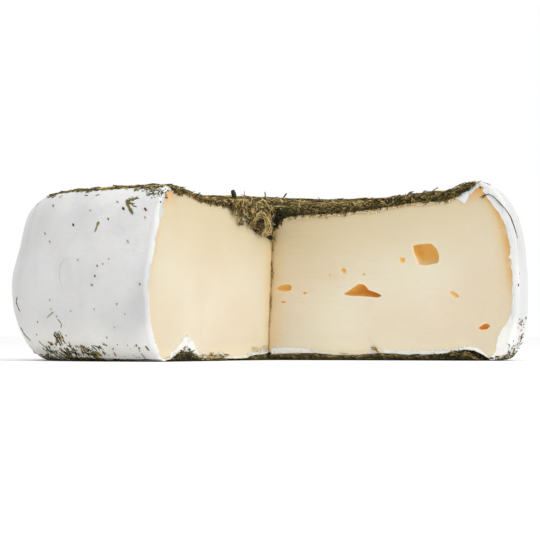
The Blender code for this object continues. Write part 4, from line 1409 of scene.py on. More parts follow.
def on_rind(column, row, proud=0.0002):
    """The place on the cheese that is seen at this pixel, or the nearest one, just proud of it."""
    place, normal, *_ = seen_at(column, row)
    while place is None:
        column += NUDGE[0] if column < IMAGE_SIZE / 2 else -NUDGE[0]
        row += NUDGE[1] if row < HORIZON_ROW else -NUDGE[1]
        place, normal, *_ = seen_at(column, row)
    return np.array(place + normal * proud)


def through(stops, joints):
    """A smooth line with this many joints through a few places."""
    line = respaced(np.array(stops), count=SMOOTHING_POINTS)
    for _ in range(SMOOTHING_ROUNDS):
        line[1:-1] = (line[:-2] + line[1:-1] * 2 + line[2:]) / 4
    return line[np.linspace(0, SMOOTHING_POINTS - 1, joints).round().astype(int)]


middle_spot = on_rind(IMAGE_SIZE / 2, IMAGE_SIZE / 2)
print("the middle of the picture shows the place", (middle_spot * 1000).round(1), "mm")

# %% [markdown]
# ## Specks on the rind
#
# Bits of needle are scattered over the mould. Scattering them at random would give the right feeling,
# but the eye knows these ones, so each is given by the pixels at its two ends.

# %% Specks on the rind
# Column and row of each bit's start and of its end, its width in millimetres, and its tone
SPECKS = (
    (122.6, 207.6, 124.6, 209.8, 1.1, 0.05), (116.8, 201.4, 118.8, 202.6, 0.7, 0.3),
    (144.6, 208, 146.8, 211, 0.9, 0.1), (144.4, 216.6, 145.6, 218.4, 0.6, 0.2),
    (108, 218, 109, 220, 0.7, 0.2), (127.4, 240, 128.6, 243, 0.7, 0.3), (72.9, 223.8, 74.3, 226.2, 1.0, 0.05),
    (52.8, 205, 54.2, 206.6, 0.6, 0.3), (49.4, 240.8, 50.6, 243.2, 0.6, 0.3),
    (45, 232.6, 46, 234.6, 0.6, 0.3), (90, 209.8, 91, 211.2, 0.5, 0.5), (77.6, 259, 78.4, 261, 0.5, 0.3),
    (96.9, 264.8, 98.1, 267, 0.8, 0.15), (94.4, 275, 95.6, 277, 0.9, 0.1),
    (91.2, 284.2, 92.8, 285.8, 0.9, 0.1), (102.6, 263.4, 103.4, 264.6, 0.5, 0.3),
    (108.6, 258.4, 109.4, 259.6, 0.5, 0.3), (139.4, 283, 140.6, 285.2, 0.7, 0.3),
    (49.5, 299.2, 50.5, 301, 0.6, 0.3), (50.6, 308.2, 51.4, 310, 0.6, 0.3),
    (53.5, 312, 47.5, 317.5, 0.6, 0.35), (56.2, 315.6, 57.2, 317.4, 0.6, 0.3), (58, 319, 62, 324, 0.35, 0.3),
    (62, 324, 61, 328, 0.35, 0.3), (59.5, 331, 56, 337, 0.4, 0.3), (59.5, 331, 64, 339, 0.4, 0.3),
    (116.6, 303.2, 117.4, 304.8, 0.8, 0.1), (124.7, 313.4, 125.3, 314.6, 0.6, 0.2),
    (94, 308.4, 95, 309.6, 0.5, 0.3), (70.6, 310.4, 71.4, 311.6, 0.5, 0.3),
    (37.6, 321.2, 38.4, 322.8, 0.6, 0.2), (66, 334.8, 67, 336.2, 0.6, 0.2),
    (106.6, 336.8, 107.4, 338.2, 0.6, 0.2), (106.3, 344.6, 107.1, 346, 0.6, 0.2),
    (117.2, 343.8, 118, 345.2, 0.6, 0.2), (114.4, 326.8, 115, 328.2, 0.5, 0.3),
    (36.6, 333.8, 37.4, 335.2, 0.6, 0.2), (21, 327, 24, 333, 0.5, 0.2), (24, 333, 31, 341, 0.5, 0.2),
    (99, 222, 97.4, 226, 1.5, 0.55), (97.6, 225, 95, 232, 1.1, 0.4), (17.6, 297, 16.6, 302, 0.6, 0.2),
    (16.6, 302, 18, 307, 0.6, 0.2), (18, 307, 20.5, 311.5, 0.6, 0.2), (114, 352, 119, 359, 0.7, 0.5),
    (81, 344.5, 81.6, 351, 0.9, 0.75), (95, 351, 102, 356, 1.6, 0.4), (55.5, 336, 60, 343, 1.3, 0.15),
    (58, 335.4, 62, 342, 1.0, 0.3), (519, 272.6, 518.8, 275.6, 0.7, 0.1),
    (518.2, 283.6, 517.9, 286.6, 0.7, 0.1), (525.6, 316.6, 525.4, 319.4, 0.7, 0.1),
    (521.2, 323.8, 520.8, 326.4, 0.7, 0.1), (513.4, 340, 512.6, 342.2, 0.7, 0.2),
    (517.4, 343, 516.6, 345.2, 0.7, 0.2), (161, 193, 165, 195.6, 1.0, 0.02),
    (160.2, 201.4, 161, 203, 0.6, 0.1), (167, 190, 168.4, 191.6, 0.9, 0.05),
    (161, 187, 165.6, 189.6, 1.0, 0.05), (145.6, 346, 149.4, 350.6, 1.0, 0.35),
    (480, 187, 481, 188.6, 1.0, 0.02),
)
SPECK_JOINTS = 4

lines = [through([on_rind(*speck[:2]), on_rind(*speck[2:4])], SPECK_JOINTS) for speck in SPECKS]
*_, widths, tones = np.array(SPECKS).T
felted("needles_specks", lines, widths / 1000, tones)

# %% [markdown]
# ## Peppered places
#
# Near the cuts and the foot, fine crumbs of needle lie too thickly to be given one by one. An area of
# the picture, a number and a heading are enough for each such place, and chance does the rest. In the
# low, wide areas the crumbs follow the area's diagonal, as they do along an edge.

# %% Peppered places
# The corners, in pixels, of each area, how many bits lie there, their heading and its scatter
PEPPERED = (
    ((134, 185, 160, 192), 110, (1.0, -0.5), 0.9), ((146, 190, 167, 198), 80, (1.1, -0.7), 0.9),
    ((517, 318, 524, 345), 34, (0.5, -1.4), 0.6), ((507, 344, 519, 357), 60, (1.0, -0.8), 0.8),
    ((42, 340, 62, 357), 56, (2.0, 3.0), 0.8), ((54, 331, 64, 342), 24, (1.4, 2.4), 0.7),
    ((64, 345, 104, 358), 110, (2.4, 2.4), 1.2), ((486, 355.8, 512, 358.8), 90, (2.2, 0.2), 0.3),
    ((76, 187.5, 120, 191), 130, (2.4, -0.4), 0.5), ((112, 344, 140, 358), 16, (0.8, 1.0), 0.8),
)
EDGE_AREA_HEIGHT = 5

lines, tones = [], []
for (left, top, right, bottom), count, heading, scatter in PEPPERED:
    for _ in range(count):
        share = draws.uniform(0, 1)
        spot = np.array((left + (right - left) * share, draws.uniform(top, bottom)))
        if bottom - top < EDGE_AREA_HEIGHT:
            spot[1] -= (share - 0.5) * (bottom - top)
        tip = spot + (np.array(heading) + draws.normal(0, scatter, 2)) * draws.uniform(0.4, 1.3)
        lines.append(through([on_rind(*spot), on_rind(*tip)], SPECK_JOINTS))
        tones.append(draws.uniform(0.5, 0.9) if draws.uniform() < 0.25 else draws.uniform(0, 0.3))
felted("needles_peppered", lines, (0.0003, 0.0007), tones)

# %% [markdown]
# ## Specks behind
#
# The picture shows less than half of the side. The rest is finished in the same way, with bits at
# random angles and heights. Each lies along the section's line, a hair proud of the mould.

# %% Specks behind
UNSEEN_SPECKS = 170
UNSEEN_FROM, UNSEEN_TO = math.radians(30), math.radians(204)
SIDE_RADIUS = 0.12

angle = draws.uniform(UNSEEN_FROM, UNSEEN_TO, UNSEEN_SPECKS)
height = draws.uniform(0.004, 0.076, UNSEEN_SPECKS)
heading = draws.uniform(0, TURN, UNSEEN_SPECKS)
half = draws.exponential(0.0006, UNSEEN_SPECKS).clip(0.0003, 0.005)
lines = []
for share in (JOINTS * 2 - 1):
    turn = angle + np.cos(heading) * share * half / SIDE_RADIUS
    up = (height + np.sin(heading) * share * half).clip(0.003, 0.079)
    side = np.interp(up, wall_line[::-1, 1], wall_line[::-1, 0]) + 0.0005
    lines.append(settle(around(side, turn, up)))
widths = draws.uniform(0.0004, 0.0011, UNSEEN_SPECKS)
felted("needles_behind", np.stack(lines, 1), widths, mixed_tones(UNSEEN_SPECKS, 0, 0.7))

# %% [markdown]
# ## Whole needles and the sprig
#
# A few whole needles lie on the mould: a long forked one on the right shoulder and a small sprig on
# the left, whose needles leave its stem in pairs. Longer needles need more joints than the chopped
# ones, so they are pieces of their own.

# %% Whole needles and the sprig
WHOLE_NEEDLE = ((480, 197.3), (486, 194), (490, 193.2), (494.5, 197), (501, 204), (506, 210), (509.5, 216),
                (512.5, 224), (515, 231.5), (517, 238.5))
WHOLE_NEEDLE_FORK = ((482.5, 198.3), (485, 195.6), (489, 193.8))
WHOLE_JOINTS = 24
SPRIG_ARMS = (((125.5, 200.5), (139, 198)), ((125.5, 200.5), (133, 214)), ((126, 201), (136, 206)))
SPRIG_NEEDLES = 44

whole = [through([on_rind(*spot, 0.0004) for spot in line], WHOLE_JOINTS)
         for line in (WHOLE_NEEDLE, WHOLE_NEEDLE_FORK)]
felted("needles_whole", whole, [0.0006, 0.0009], [0.15, 0.08])

lines = []
for (start, stop) in SPRIG_ARMS:
    for _ in range(SPRIG_NEEDLES):
        share = draws.uniform(0.0, 0.75)
        spot = np.array(start) + (np.array(stop) - start) * share + draws.normal(0, 0.65, 2)
        tip = spot + (np.array(stop) - start) * draws.uniform(0.15, 0.3) + draws.normal(0, 0.7, 2)
        lines.append(through([on_rind(*spot, -0.0001), on_rind(*tip, 0.0001)], SPECK_JOINTS))
felted("needles_sprig", lines, (0.0004, 0.0007), (0.18, 0.4))

# %% [markdown]
# ## The clump over the corner
#
# Where the two cuts meet, the knife dragged a clump of needles down over the paste. A few pixels
# along its lower edge give its outline on the left face. Like the beds it has a dark core, here a
# shell of a few ribs between the bed and that edge, thinnest in front, and needles cover it.

# %% Core of the clump
CLUMP_EDGE = ((226, 206), (234, 209), (242, 211), (248, 213), (252, 221), (255, 230), (259, 234), (264, 236),
              (269, 238), (272.8, 241))
# How deep each rib lies, and how much of the clump's height it covers
CLUMP_RIBS = ((-0.0011, 0.5), (-0.0007, 0.86), (0.0, 1.0), (0.003, 1.0))


def left_face_spot(column, row, proud=0.0):
    """How far from the axis, and how high, the sight line through a pixel meets the left face."""
    start, way = pixel_ray(column, row)
    spot = start
    for _ in range(4):
        face = on_left_face(np.array(-spot.y), np.array(spot.z), proud)
        spot = start + way * ((float(face[0]) - start.x) / way.x)
    return -spot.y, spot.z


def before_left_face(pixels, proud):
    """Places that stand this far before the left face and are seen at these pixels."""
    spots = np.array([left_face_spot(*pixel, proud) for pixel in pixels])
    return on_left_face(spots[:, 0], spots[:, 1], proud)


clump_edge = np.array([left_face_spot(*pixel, 0.0012) for pixel in CLUMP_EDGE])[::-1]
along = np.linspace(clump_edge[0, 0], clump_edge[-1, 0], 60).clip(0.0003, None)
low = np.interp(along, clump_edge[:, 0], clump_edge[:, 1])
low += layered(points(along, 0 * along), ((0.0006, 0.0022, 42.0),))
high = edge_height(coat_line, on_left_face, along) - 0.0008
rough = layered(points(along, high), ((0.0005, 0.0024, 41.0),))
ribs = []
for depth, share in CLUMP_RIBS:
    middle, half = (high + low) / 2, (high - low) / 2 * share
    upper, lower = (on_left_face(along, middle + side * half, rough - depth) for side in (1, -1))
    ribs.append(np.concatenate([upper, lower[::-1]]))
clump = shell("bed_clump", np.array(ribs))
clump.data.shade_smooth()
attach(clump, "root")
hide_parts("needle_coat_top")
print("clump:", len(clump.data.polygons), "faces")

# %% [markdown]
# ## Ragged fingers
#
# The clump hangs down in ragged fingers of needles that the knife combed out. Each finger is a line
# between two pixels with a width. Its needles lie across that line at random, mostly downwards, and
# stop at its tip, which keeps the clump's lower edge as sharp as it is in the picture.

# %% Ragged fingers
# Where each finger leaves the clump and where it ends, in pixels, and its width
FINGERS = (
    ((234, 202), (234.4, 216.5), 4.0), ((238.4, 204), (241.6, 226.5), 4.5), ((243, 204), (244.6, 218), 3.5),
    ((247, 205), (249.2, 228), 4.5), ((251.5, 207), (252.4, 230), 4.0), ((255, 210), (256.5, 235.5), 5.0),
    ((261, 214), (262, 239), 6.0), ((266, 214), (267.4, 239.5), 5.0), ((271, 212), (272.8, 244.5), 4.0),
)
FINGER_NEEDLES = 88
DARK_OLIVE_STRAW = (0.38, 0.36, 0.26)

lines, tones = [], []
for start, stop, width in FINGERS:
    start, stop = np.array(start), np.array(stop)
    for _ in range(FINGER_NEEDLES):
        share = draws.uniform(-0.15, 0.92)
        middle = start + (stop - start) * share + (draws.normal(0, 0.32) * width * (1.1 - 0.5 * share), 0)
        turn = draws.normal(QUARTER, 0.6)
        step = np.array([math.cos(turn), math.sin(turn)]) * draws.uniform(1.0, 4.0)
        first, last = middle - step, middle + step
        last[1] = min(last[1], stop[1] + draws.uniform(-2.0, 0.6))
        pixels = [first, (first + last) / 2 + draws.normal(0, 0.6, 2), last]
        lines.append(through(before_left_face(pixels, draws.uniform(0.0004, 0.0021)), 5))
        kinds = draws.uniform(0, 0.2), draws.uniform(0.3, 0.66), draws.uniform(0.7, 1)
        tones.append(draws.choice(kinds, p=DARK_OLIVE_STRAW))
felted("needles_fingers", lines, (0.0003, 0.0006), tones, "needle_coat_top")

# %% [markdown]
# ## The knot
#
# In the middle of the clump, pale fibres curl round a dark knot like a bird's nest. Arcs of an
# ellipse, each with a random start, end and size, give the curl: most of them round the knot's right
# side, and a few round its left. Short dark needles at every angle fill the middle.

# %% Fibres round the knot
KNOT = (259.8, 225)
# For each side: which way it bulges, how many fibres, where their arcs start and end, and their width
KNOT_SIDES = ((1, 56, -80, 80, 10.5), (-1, 13, -10, 75, 7.0))
SHORTEST_ARC = 45

lines = []
for side, count, low_turn, high_turn, widest in KNOT_SIDES:
    for _ in range(count):
        wide, tall = draws.uniform(5.0, widest), draws.uniform(8, 13)
        first, last = np.sort(draws.uniform(low_turn, high_turn, 2))
        turn = np.radians(np.linspace(first, max(last, first + SHORTEST_ARC), 6))
        pixels = np.array(KNOT) + points(side * wide * np.cos(turn), -tall * np.sin(turn))
        pixels = pixels + draws.normal(0, 1.0, 2) + draws.normal(0, 0.6, pixels.shape)
        lines.append(before_left_face(pixels, draws.uniform(0.0021, 0.0034)))
fibre_tones = either(len(lines), 0.8, (0.7, 1), (0.2, 0.5))
felted("needles_knot", lines, (0.0003, 0.0005), fibre_tones, "needle_coat_top")

lines = []
for _ in range(110):
    first = np.array(KNOT) + draws.normal(0, 1, 2) * (1.9, 3.8)
    last = first + draws.normal(0, 1.5, 2)
    lines.append(through(before_left_face([first, last], draws.uniform(0.0012, 0.0025)), SPECK_JOINTS))
core_tones = either(len(lines), 0.72, (0, 0.1), (0.5, 0.62))
felted("needles_knot_core", lines, (0.0004, 0.0008), core_tones, "needle_coat_top")

# %% [markdown]
# ## Bits in the crease
#
# The knife pushed short bits of needle down the crease between the two faces. They stand almost
# upright in it, thick near the top and sparse below. Numbers from a beta distribution have just that
# leaning towards one end, where plain random heights would fill the crease evenly.

# %% Bits in the crease
CREASE_BITS = 40
CREASE_LOW, CREASE_TALL = 0.007, 0.053
DARK_ABOVE = 0.04

height = draws.beta(2.2, 1.4, CREASE_BITS) * CREASE_TALL + CREASE_LOW
middle = crease_middle(height) + (0.0002, -0.0004, 0) + draws.normal(0, 0.00025, (CREASE_BITS, 3))
middle[:, 0] += draws.uniform(0, 1, CREASE_BITS) * slit_width(height) * 0.5
lean, rise = draws.normal(0, 0.0002, CREASE_BITS), draws.uniform(0.0005, 0.0016, CREASE_BITS)
reach = points(lean, 0, rise)
tones = np.where(height > DARK_ABOVE, drawn((0.15, 0.45), CREASE_BITS), drawn((0.4, 0.66), CREASE_BITS))
felted("needles_crease", bent(middle - reach, middle + reach, 0 * middle), (0.0002, 0.0005), tones)

# %% [markdown]
# ## Loose fibres and stubs
#
# Some needles stand out from the beds one by one: dark cut stubs along the top edge, and long pale
# fibres that hang from the clump or lie on the bed. The eye goes to them first, so they follow the
# picture: each is a smooth line through three pixels, on the face that it lies before.

# %% Loose fibres and stubs
# Pixels that each long fibre or stub runs through, its width in millimetres, and its tone
LEFT_STUBS = (
    (((232, 190.2), (232.8, 193), (235, 199)), 2.5, 0.02),
    (((244, 191), (243.8, 195), (244.6, 200)), 0.7, 0.5),
    (((264.4, 191.8), (264.8, 195), (264.6, 200)), 1.1, 0.02),
    (((244, 198), (245.4, 204), (245, 211)), 0.7, 0.95), (((240, 199), (247, 201), (252, 206)), 0.6, 0.8),
    (((252, 198), (250, 204), (252, 210)), 0.6, 0.85), (((256, 203), (263, 199), (268, 203)), 0.6, 0.9),
    (((260, 197), (266, 203), (271, 212)), 0.6, 0.8), (((264, 196), (272, 201), (276, 198)), 0.6, 0.85),
    (((235, 200), (240, 206), (238, 212)), 0.6, 0.75), (((270, 214), (271.4, 224), (270.6, 236)), 0.5, 0.95),
    (((266.6, 215), (269.6, 225), (267.6, 235)), 0.5, 0.9),
    (((253, 214), (250.4, 221), (252, 228)), 0.5, 0.9),
)
RIGHT_STUBS = (
    (((427, 198.4), (433, 192.4), (439, 186.8)), 0.7, 0.35),
    (((398, 198.6), (400, 195.6), (402, 195)), 1.2, 0.2),
    (((408, 196), (411, 192.6), (415, 191.6)), 0.9, 0.15),
    (((433, 192), (437, 188.6), (440, 188)), 0.9, 0.15),
    (((424, 194), (426, 190.6), (428.6, 191.4)), 1.0, 0.2), (((303, 198), (300, 206), (301, 213)), 0.6, 0.8),
    (((296, 200), (304, 202), (312, 201)), 0.6, 0.7), (((326, 204), (334, 202), (342, 204)), 0.6, 0.7),
    (((446, 191.6), (450, 189.4), (453, 189)), 0.8, 0.2), (((355, 206), (363, 204), (371, 206)), 0.6, 0.7),
    (((381, 203), (389, 205), (396, 203)), 0.6, 0.75), (((288, 193.2), (286, 196), (284, 199)), 0.8, 0.2),
    (((372, 347.6), (376, 346.8), (379, 350.6)), 0.9, 0.56),
    (((373, 349), (377, 349.4), (380, 352.6)), 0.8, 0.5),
    (((378, 350), (382, 352.4), (385, 355)), 0.7, 0.8), (((341, 353), (345, 354), (350, 353.4)), 0.6, 0.6),
)
STUBS = LEFT_STUBS + RIGHT_STUBS
STUB_JOINTS = 6

lines = [through(before_left_face(pixels, 0.0012), STUB_JOINTS) for pixels, *_ in LEFT_STUBS]
for pixels, *_ in RIGHT_STUBS:
    spots = np.array([right_face_spot(*pixel) for pixel in pixels])
    lines.append(through(on_right_face(spots[:, 0], spots[:, 1], 0.0008), STUB_JOINTS))
widths = np.array([width for _, width, _ in STUBS]) / 1000
felted("needles_stubs", lines, widths, [tone for *_, tone in STUBS], "needle_coat_top")

# %% [markdown]
# ## Crumbs and curls at the foot of the left face
#
# Under the soft drops of paste lie loose crumbs of needle. Beside the corner, fine curled shavings
# stand before the white rind. An arc of a circle with a random start, turn and size is enough for a
# shaving. The last one, which is longer, follows the picture down to the floor.

# %% Crumbs and curls
# Both are placed in pixels: crumbs between two columns and two rows, curls about one row
CRUMBS, CRUMB_COLUMNS, CRUMB_ROWS = 70, (199, 226), (354.2, 358.9)
CURLS, CURL_COLUMNS, CURL_ROW = 44, (254, 276), 348.4
LONG_CURL = ((262, 346), (261, 349), (259.6, 352), (258.6, 354), (257.8, 356), (256.6, 358.6))

lines = []
for _ in range(CRUMBS):
    first = np.array((draws.uniform(*CRUMB_COLUMNS), draws.uniform(*CRUMB_ROWS)))
    last = first + draws.normal(0, 1, 2) * (3.0, 1.0)
    last[1] = min(last[1], CRUMB_ROWS[1])
    lines.append(through(before_left_face([first, last], draws.uniform(0.0001, 0.0008)), SPECK_JOINTS))
felted("needles_crumbs", lines, (0.0004, 0.0008), (0.1, 1.0), "needle_coat_bottom")

lines = []
for _ in range(CURLS):
    middle = np.array((draws.uniform(*CURL_COLUMNS), CURL_ROW)) + draws.normal(0, 1.1, 2)
    turn = draws.uniform(0, TURN) + np.linspace(0, draws.uniform(1.5, 4.0), len(LONG_CURL))
    arc_pixels = middle + points(np.cos(turn), np.sin(turn)) * draws.uniform(0.7, 1.8)
    lines.append(before_left_face(arc_pixels, draws.uniform(0.0003, 0.0012)))
lines.append(before_left_face(LONG_CURL, 0.0008))
felted("needles_curls", lines, (0.0002, 0.0004), (0.85, 1.0), "needle_coat_bottom")

# %% [markdown]
# ## Crumbs of rind
#
# The torn rind isn't a clean ribbon: crumbs of it lie along its edge, golden under the top bed and
# white above the bottom one. They could be boulders of their own shape, but at half a millimetre
# nobody sees it, so they use the needles' rods, cut very short and thick.

# %% Crumbs of rind
LEAST_STRIP = 0.0006


def crumbs_along(strip_name, section, count, first, last, up):
    """Lines of crumbs about the inner edge of a strip, which lies up or down from its section line."""
    face, _, _, stations = STRIPS[strip_name]
    along = draws.uniform(first, last, count)
    thick_here = np.interp(along, *(np.array(stations).T[:2] / 1000))
    kept = thick_here > LEAST_STRIP
    along, thick_here = along[kept], thick_here[kept]
    count = len(along)
    height = edge_height(section, face, along) + up * thick_here * draws.uniform(0.1, 1.3, count)
    heading = draws.uniform(0, TURN, count)
    half = draws.uniform(0.0002, 0.0006, count)
    step, climb = np.cos(heading) * half, np.sin(heading) * half
    roots = face((along - step).clip(0.0004, None), height - climb, 0.0002)
    return bent(roots, face(along + step, height + climb, 0.0003), 0 * roots)


golden_lines = crumbs_along("rind_right_top", seat_line, 230, 0.006, 0.1, -1)
crumbs = felted("rind_crumbs", golden_lines, (0.0006, 0.0013), (0, 1))
white_lines = np.concatenate([
    crumbs_along("rind_left_bottom", floor_line, 170, 0.002, 0.101, 1),
    crumbs_along("rind_right_bottom", floor_line, 150, 0.003, 0.1, 1),
])
white_crumbs = felted("rind_white_crumbs", white_lines, (0.0004, 0.0009), (0, 1))

# %% [markdown]
# ## A scar on the mould
#
# On the left side a faint curved mark runs down the mould, where something has pressed it. It is a
# single long rod, sunk so far into the rind that only its back shows. All these crumbs and marks
# belong to the rind.

# %% Scar on the mould
SCAR = ((66.2, 258), (61.6, 263), (59.4, 270), (59.4, 278), (61.4, 286), (63.6, 292.4))

scar_line = through([on_rind(*spot, -0.00012) for spot in SCAR], WHOLE_JOINTS)
scar = felted("rind_scar", [scar_line], [0.0009], [0.1])
print("in the rind's slot:", [piece.name for piece in (crumbs, white_crumbs, scar)])

# %% [markdown]
# ## How the materials are mixed
#
# The shapes are done, and the finishes come last, because they read what the shapes have noted. No
# surface of a cheese has one flat colour. Each material starts from a mottled base and lays colours
# over it, each as strong as the product of a few shares: a noise, a height, or a number that the mesh
# carries. Everything is worked out in the object's own space, so the colours stay in place from every
# side. A small class keeps the node tree and saves writing the same links.

# %% A finish
NOISE_DETAIL = 4.0


def linear(red, green, blue):
    """A colour given from 0 to 255, as the linear values that Blender wants."""
    return tuple(((value / 255 + 0.055) / 1.055) ** 2.4 for value in (red, green, blue)) + (1.0,)


class Finish:
    """A material with one Principled shader, whose colour is laid on in layers."""

    def __init__(self, name, roughness, specular):
        self.material = bpy.data.materials.new(name)
        self.material.use_nodes = True
        self.nodes, self.links = self.material.node_tree.nodes, self.material.node_tree.links
        self.shader = self.nodes["Principled BSDF"].inputs
        self.shader["Roughness"].default_value = roughness
        self.shader["Specular IOR Level"].default_value = specular
        self.colour = None

    def node(self, kind, **inputs):
        """A new node. Each input gets a number, a colour, or another node's output."""
        made = self.nodes.new("ShaderNode" + kind)
        for name, value in inputs.items():
            self.put(made.inputs[name.replace("_", " ")], value)
        return made

    def put(self, socket, value):
        """Sets a socket to a value, or links another node's output to it."""
        if isinstance(value, bpy.types.NodeSocket):
            self.links.new(value, socket)
        else:
            socket.default_value = value

    def noted(self, name):
        """The number that was noted under this name at each point."""
        made = self.node("Attribute")
        made.attribute_name = name
        return made.outputs["Fac"]

    def place(self):
        """Each point's place on the object."""
        return self.node("TexCoord").outputs["Object"]

    def along(self, axis):
        """Each point's place along this axis."""
        return self.node("SeparateXYZ", Vector=self.place()).outputs[axis]

    def ramp(self, value, low, high):
        """A value mapped smoothly, from 0 at low to 1 at high."""
        made = self.node("MapRange", Value=value, From_Min=low, From_Max=high)
        made.interpolation_type = "SMOOTHSTEP"
        return made.outputs["Result"]

    def between(self, share, first, second):
        """A number that runs from the first to the second with a share."""
        return self.node("MapRange", Value=share, To_Min=first, To_Max=second).outputs["Result"]

    def noise(self, scale, low, high, stretch=None):
        """Noise of this scale, stretched so that it runs from 0 at low to 1 at high."""
        where = self.place()
        if stretch:
            where = self.node("Mapping", Vector=where, Scale=stretch).outputs["Vector"]
        made = self.node("TexNoise", Vector=where, Scale=scale, Detail=NOISE_DETAIL)
        return self.ramp(made.outputs["Fac"], low, high)

    def product(self, first, *others):
        """The product of numbers and sockets."""
        for other in others:
            made = self.node("Math")
            made.operation = "MULTIPLY"
            self.put(made.inputs[0], first)
            self.put(made.inputs[1], other)
            first = made.outputs[0]
        return first

    def mix(self, share, first, second):
        """A colour mixed by a share from two, each a socket or red, green and blue."""
        made = self.node("Mix")
        made.data_type = "RGBA"
        self.put(made.inputs[0], share)
        for socket, colour in ((made.inputs[6], first), (made.inputs[7], second)):
            self.put(socket, linear(*colour) if isinstance(colour, tuple) else colour)
        return made.outputs[2]

    def lay(self, colour, *shares):
        """Lays a colour over what is there, as strong as the product of the shares."""
        self.colour = self.mix(self.product(*shares), self.colour, colour)

    def glow(self, weight, depth, colours=None):
        """Lets light into the surface this far, in metres, and out again."""
        self.shader["Subsurface Weight"].default_value = weight
        self.shader["Subsurface Scale"].default_value = depth
        if colours:
            self.shader["Subsurface Radius"].default_value = colours

    def raised(self, *layers):
        """Fine bumps, from layers of noise and height in metres."""
        normal = None
        for height, depth in layers:
            bump = self.node("Bump", Height=height, Distance=depth)
            if normal:
                self.links.new(normal, bump.inputs["Normal"])
            normal = bump.outputs["Normal"]
        self.links.new(normal, self.shader["Normal"])

    def dress(self, *pieces):
        """Gives the pieces this one material. A Boolean leaves an empty slot, so slots are cleared."""
        self.links.new(self.colour, self.shader["Base Color"])
        for piece in pieces:
            piece.data.materials.clear()
            piece.data.materials.append(self.material)
        print(self.material.name, "on", [piece.name for piece in pieces])


print("a middle grey of 128 is", round(linear(128, 128, 128)[0], 3), "to Blender")

# %% [markdown]
# ## The colour of the paste
#
# Ripe paste is cream, palest in the middle and yellower towards the rind, where it ripens first, with
# a torn golden line just under it. The eyes are painted golden to orange, most deep in each hollow,
# which is painted shade, and paler on the side where light falls in, which is painted light. Painted
# shade also darkens the paste under the top bed and near the axis, and partly in the crease, and the
# two faces get slightly different creams, which is painted light and shade. A picture painted on could
# show all this, but the distances that the paste has noted do it from every side at once. The paste
# lets some light through, which softens the shadows in its eyes.

# %% Paste finish
LIGHT_IN_PASTE = (1.0, 0.8, 0.5)

cream = Finish("cream_paste", 0.5, 0.4)
from_top, from_side, from_sole, from_axis, eye_painted_shade_here = (
    cream.noted(name) for name in ("from_top", "from_side", "from_sole", "from_axis", "eye_tint"))
right_cut = cream.ramp(cream.along("X"), 0.005, 0.045)
near_side, high_up = cream.ramp(from_side, 11, 1), cream.ramp(from_sole, 22, 48)
# The two cut faces get slightly different creams, the right one paler and greyer: painted light and shade.
pale = cream.mix(right_cut, (223, 215, 194), (226, 221, 202))
warm = cream.mix(right_cut, (220, 205, 180), (223, 210, 187))
cream.colour = cream.mix(cream.noise(16, 0.35, 0.7), pale, warm)
# Painted shade: the paste is darker under the overhanging top bed.
cream.lay((212, 194, 152), cream.ramp(from_top, 42, 2), 0.65)
cream.lay((212, 199, 170), cream.ramp(from_side, 45, 0), 0.35)
cream.lay((218, 196, 155), near_side, 0.4)
cream.lay((216, 190, 143), near_side, high_up, right_cut, 0.8)
torn = cream.noise(120, 0.2, 0.55)
cream.lay((214, 168, 94), cream.ramp(from_side, 6.5, 2.5), torn, high_up, cream.between(right_cut, 0.35, 1))
cream.lay((218, 166, 100), cream.ramp(from_side, 22, 5), cream.ramp(from_top, 11, 2), 0.75)
cream.lay((214, 166, 104), cream.ramp(from_top, 2.2, 0.3), 0.6)
cream.lay((236, 222, 190), cream.ramp(from_sole, 7, 0), 0.5)
# Painted shade: darker and more orange towards the axis, in the corner between the two faces.
cream.lay((226, 196, 142), cream.ramp(from_axis, 10, 0.5), 0.5)
# Painted shade in the eyes: golden, then orange, strongest deep in each hollow.
cream.lay((238, 192, 102), cream.ramp(eye_painted_shade_here, 0, 0.7))
cream.lay((226, 149, 46), cream.ramp(eye_painted_shade_here, 0.7, 1.5))
# Along the crease the paste is painted darker and golden: partly the colour of the bits in it, partly painted
# shade.
in_crease = cream.mix(cream.ramp(from_top, 24, 5), (214, 172, 102), (196, 170, 110))
cream.lay(in_crease, cream.noted("crease"))
cream.glow(0.6, 0.003, LIGHT_IN_PASTE)
drag, grain = cream.noise(220, 0.3, 0.7, stretch=(0.25, 0.25, 1.6)), cream.noise(900, 0.3, 0.7)
cream.raised((drag, 0.00006), (grain, 0.00004))
cream.dress(paste)

# %% [markdown]
# ## The colour of the mould
#
# White mould is never one white. It has soft clouds of shade, a stain near the floor where the
# needles have coloured it, and clean white lips where it was torn. Painted light whitens it towards the
# floor, and the notes add painted light low on the right and painted shade on the right shoulder. It is
# matt and powdery, so its roughness is high and two fine bumps break up the light. The strips are the
# same mould in other light, so one function makes them all, from a white, a shade and a stain. Of the
# torn mould, the copy on the left face's outer edge is darker, which is painted shade, and the copy on
# the other torn edges is lighter, which is painted light.

